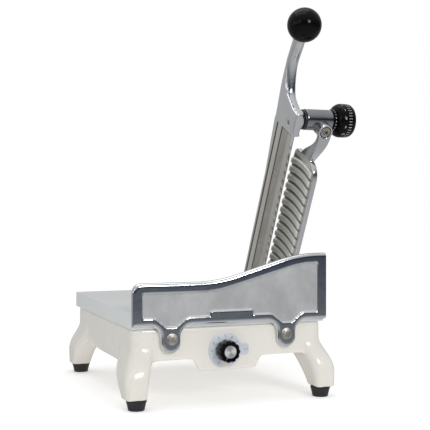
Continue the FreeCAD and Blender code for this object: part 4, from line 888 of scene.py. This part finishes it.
softenWhere(armShell, onHead, armValues["headSmoothing"])
dress(armShell, "arm", [armFace], ["arm_casting"])
blade = bevelled("knifeStrip", "knife_blade", armValues["knifeEdge"])
dress(blade, "arm", [knifeFinish], ["knife_blade"])

ballValues = {"centre": (0.125, 0.0207, 0.4067), "neck": 19.5 * mm, "neckRadius": 8.0 * mm,
              "hole": 4.1 * mm, "holeDeep": 2.0 * mm, "arcSteps": 40, "steps": 96}
ballLow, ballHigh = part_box("handle_ball")
ballRadius = (ballHigh.x - ballLow.x) / 2
neckAngle = -math.degrees(math.asin(ballValues["neck"] / ballRadius))
ballProfile = [(ballValues["hole"], ballValues["holeDeep"] - ballValues["neck"]),
               (ballValues["hole"], -ballValues["neck"]), (ballValues["neckRadius"], -ballValues["neck"])]
ballProfile += arcPoints(ballRadius, neckAngle + 1.5, 90, ballValues["arcSteps"])
ballCentre = armFrame @ Vector(ballValues["centre"])
ballPlace = Matrix.Translation(ballCentre) @ Matrix.Rotation(armLean, 4, "X")
handBall = lathed("handleBallGrip", ballProfile, ballPlace, ballValues["steps"])
dress(handBall, "arm", [phenolic], ["handle_ball"])
print("knife arm")

# gauge plate and its slide block

gaugeValues = {"voxel": 0.85 * mm, "smoothing": 2}
slideValues = {"voxel": 0.5 * mm, "smoothing": 4}
gaugePlate = castCopy("gaugePlateCasting", "gauge_plate", gaugeValues["voxel"], gaugeValues["smoothing"])
dress(gaugePlate, "gauge", [gaugeFace], ["gauge_plate"])
blockBody = castCopy("slideBlockCasting", "slide_block", slideValues["voxel"], slideValues["smoothing"])
dress(blockBody, "gauge", [blockMetal], ["slide_block"])
print("gauge plate and slide block")

# graduated knob

knobValues = {
    "profile": [(0, 18.6), (8.05, 18.6), (8.05, 0), (14.0, 0), (16.6, 0.7), (18.9, 2.3), (20.3, 4.6),
                (21.0, 7.0), (21.2, 9.5), (21.2, 15.5), (21.0, 18.0), (20.2, 20.6), (18.6, 22.6),
                (16.0, 23.9), (12.6, 24.5), (11.6, 24.4), (10.8, 23.9), (0, 23.8)],
    "numbers": 12, "numberSize": 4.6 * mm, "numberAt": 7.6 * mm, "ticks": 36, "tickAt": 14.2 * mm,
    "tickLength": 4.6 * mm, "tickWidth": 0.55 * mm, "radius": 21.2 * mm,
    "markThickness": 0.1 * mm, "steps": 96,
}
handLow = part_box("thickness_knob")[0]
alongSpindle = (Matrix.Translation((0, spindle.y, spindle.z)) @ Matrix.Rotation(armLean, 4, "X")
                @ Matrix.Rotation(math.radians(90), 4, "Y"))
onKnob = alongSpindle @ Matrix.Translation((0, 0, handLow.x))
grip = lathed("thicknessKnobGrip", inMillimetres(knobValues["profile"]), onKnob, knobValues["steps"])
dress(grip, "knob", [phenolic], ["thickness_knob"])
collarValues = {
    "profile": [(8.0, 0), (13.2, 0), (13.75, 0.5), (13.75, 4.6), (13.3, 5.1), (8.0, 5.1), (8.0, 0)],
    "dots": 20, "dotAt": 2.6 * mm, "dotSize": 1.1 * mm, "dotRadius": 13.77 * mm, "steps": 72,
}
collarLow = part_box("scale_collar")[0]
onCollar = alongSpindle @ Matrix.Translation((0, 0, collarLow.x))
collar = lathed("scaleCollarRing", inMillimetres(collarValues["profile"]), onCollar, collarValues["steps"])
dress(collar, "knob", [phenolic], ["scale_collar"])
knobInkRing = ringOfBars("knobTickRing", whiteInk)


def roundMarks(name, count, radius, x, length, width):
    values = {"Count": count, "Radius": radius, "Length": knobValues["markThickness"], "Width": width,
              "Thickness": length, "First": 0.0, "Step": 2 * math.pi / count}
    place = alongSpindle @ Matrix.Translation((0, 0, x))
    return bars(name, knobInkRing, values, place, "knob", "black_plastic")


roundMarks("collarDots", collarValues["dots"], collarValues["dotRadius"],
           collarLow.x + collarValues["dotAt"], collarValues["dotSize"], collarValues["dotSize"])
roundMarks("knobTicks", knobValues["ticks"], knobValues["radius"], handLow.x + knobValues["tickAt"],
           knobValues["tickLength"], knobValues["tickWidth"])
knobWords = []
for mark in range(knobValues["numbers"]):
    turn = Matrix.Rotation(2 * math.pi * mark / knobValues["numbers"], 4, "Z")
    outward = onKnob @ turn @ Matrix.Translation((knobValues["radius"], 0, knobValues["numberAt"]))
    facing = outward @ Matrix.Rotation(math.radians(90), 4, "Y") @ Matrix.Rotation(math.radians(180), 4, "Z")
    knobWords.append((str(mark), knobValues["numberSize"], facing))
lettering("knobNumbers", knobWords, whiteInk, "knob")
print("graduated knob")

# fasteners, shafts and what is inside the base

softEdged = {
    "shaft_nut": ("arm", plainSteel, 0.5), "shaft_washer": ("arm", plainSteel, 0.2),
    "stop_ring": ("arm", rubber, 0.4), "gauge_screw": ("gauge", boltSteel, 0.35),
    "dial_nut": ("base", plainSteel, 0.25), "fence_nuts": ("base", plainSteel, 0.4),
    "down_stop_screw": ("base", plainSteel, 0.3), "down_stop_nut": ("base", plainSteel, 0.4),
    "stop_lever": ("arm", plainSteel, 0.8), "rest_bumper": ("base", rubber, 0.5),
    "hinge_shaft": ("arm", plainSteel, 0.6), "thickness_spindle": ("arm", plainSteel, 0.5),
    "control_housing": ("base", housing, 0.8), "foot_screws": ("base", plainSteel, 0.4),
    "board_screws": ("base", plainSteel, 0.3), "knife_screws": ("arm", plainSteel, 0.15),
}
for node, (body, finish, width) in softEdged.items():
    dress(bevelled(node + "_piece", node, width * mm), body, [finish], [node])

asModelled = {
    "hinge_bushing_outer": brass, "hinge_bushing_inner": brass, "knob_insert": brass, "dial_bushing": brass,
    "dial_shaft": plainSteel, "return_spring": plainSteel, "handle_stud": plainSteel,
    "guide_pin": plainSteel, "spindle_lock_screw": boltSteel, "keeper_screw": plainSteel,
    "knob_grub_screw": plainSteel,
}
for node, finish in asModelled.items():
    nodes[node].data.materials.clear()
    nodes[node].data.materials.append(finish)
print("fasteners and shafts")

# floor, light and camera

stageValues = {"floorSize": 7.0, "floorFade": 0.75, "floorGlow": 0.36, "world": 0.75, "leftCard": 1.6,
               "target": (0.0, 0.0, 0.18)}
lampValues = {
    "keyLeft": {"direction": (-0.752, -0.536, 0.38), "distance": 1.7, "size": (0.55, 0.55), "power": 1.1},
    "fillRight": {"direction": (0.165, -0.930, 0.36), "distance": 1.8, "size": (0.45, 0.45), "power": 9.4},
    "topSoft": {"direction": (-0.1, 0.10, 1.0), "distance": 1.6, "size": (1.4, 1.4), "power": 6.5},
}
floorMesh = bpy.data.meshes.new("floor")
half = stageValues["floorSize"] / 2
floorCorners = [(-half, -half, 0), (half, -half, 0), (half, half, 0), (-half, half, 0)]
floorMesh.from_pydata(floorCorners, [], [(0, 1, 2, 3)])
floor = newPiece("floor", floorMesh)
f = Finish("paleFloor")
reach = f.node("ShaderNodeVectorMath", {"operation": "LENGTH"}, [f.place], out=1)
far = reach.above(stageValues["floorFade"], stageValues["floorFade"] * 0.45)
nearTone = f.mix(f.noise(3, 2), (0.86, 0.86, 0.86), (0.88, 0.88, 0.88))
glow = f.mix(far, (stageValues["floorGlow"],) * 3, (1, 1, 1))
floor.data.materials.append(f.surface(f.mix(far, nearTone, (0, 0, 0)), 0.9, 0.0,
                                      Emission_Color=glow, Emission_Strength=1.0))
floor.visible_glossy = False  # the polished parts mirror the studio instead

world = bpy.data.worlds.new("studio")
bpy.context.scene.world = world
world.use_nodes = True
w = Tree(world.node_tree)
world.node_tree.nodes.clear()
heading = w.node("ShaderNodeTexCoord", out="Generated")
height = w.node("ShaderNodeSeparateXYZ", {}, [heading], out=2)
aside = w.node("ShaderNodeSeparateXYZ", {}, [heading], out=0)
depth = w.node("ShaderNodeSeparateXYZ", {}, [heading], out=1)
front = w.node("ShaderNodeValToRGB", {"stops": [(0.0, (0.80, 0.80, 0.80)), (0.32, (0.55, 0.56, 0.58)),
               (0.43, (0.22, 0.235, 0.26)), (0.485, (0.035, 0.046, 0.068)),
               (0.57, (0.05, 0.062, 0.088)), (0.72, (0.55, 0.57, 0.60)),
               (1.0, (1.0, 1.0, 1.0))]}, [height * 0.5 + 0.5])
back = w.node("ShaderNodeValToRGB", {"stops": [(0.0, (0.45, 0.45, 0.45)), (0.44, (0.52, 0.52, 0.51)),
              (0.50, (0.60, 0.60, 0.59)), (0.60, (0.62, 0.62, 0.62)), (1.0, (1.0, 1.0, 1.0))]},
              [height * 0.5 + 0.5])
sky = w.node("ShaderNodeMix", {"data_type": "RGBA"}, {0: depth.above(0.25, 0.25), 6: front, 7: back}, out=2)
leftCard = (1 - aside.above(-0.93, 0.03)) * height.within(0.0, 0.30, 0.08)
card = (*(stageValues["leftCard"],) * 3, 1.0)
sky = w.node("ShaderNodeMix", {"data_type": "RGBA"}, {0: leftCard, 6: sky, 7: card}, out=2)
studio = w.node("ShaderNodeBackground", {}, {"Color": sky, "Strength": stageValues["world"]})
plain = w.node("ShaderNodeBackground", {}, {"Color": (1, 1, 1, 1), "Strength": 1.0})
seen = w.node("ShaderNodeLightPath", out="Is Camera Ray")
both = w.node("ShaderNodeMixShader", {}, {0: seen, 1: studio, 2: plain})
w.node("ShaderNodeOutputWorld", {}, {"Surface": both})

target = Vector(stageValues["target"])


def softBox(name, v):
    light = bpy.data.lights.new(name, "AREA")
    light.shape = "RECTANGLE"
    light.size, light.size_y = v["size"]
    light.energy = v["power"]
    lamp = bpy.data.objects.new(name, light)
    bpy.context.scene.collection.objects.link(lamp)
    lamp.location = target + Vector(v["direction"]).normalized() * v["distance"]
    lamp.rotation_euler = (target - lamp.location).to_track_quat("-Z", "Y").to_euler()
    lamp.visible_camera = False


for name, values in lampValues.items():
    softBox(name, values)
print("floor and light")

cameraValues = {"azimuth": 20.97, "down": 0.63, "place": (-0.3994, -1.1203, 0.2204), "lens": 80.6,
                "sensor": 36.0}
cameraData = bpy.data.cameras.new("camera")
cameraData.lens = cameraValues["lens"]
cameraData.sensor_width = cameraValues["sensor"]
camera = bpy.data.objects.new("camera", cameraData)
bpy.context.scene.collection.objects.link(camera)
turn = math.radians(cameraValues["azimuth"])
tilt = math.radians(cameraValues["down"])
look = Vector((math.sin(turn) * math.cos(tilt), math.cos(turn) * math.cos(tilt), -math.sin(tilt)))
camera.location = cameraValues["place"]
camera.rotation_euler = look.to_track_quat("-Z", "Y").to_euler()
bpy.context.scene.camera = camera
bpy.context.scene.view_settings.view_transform = "Standard"
print("camera")
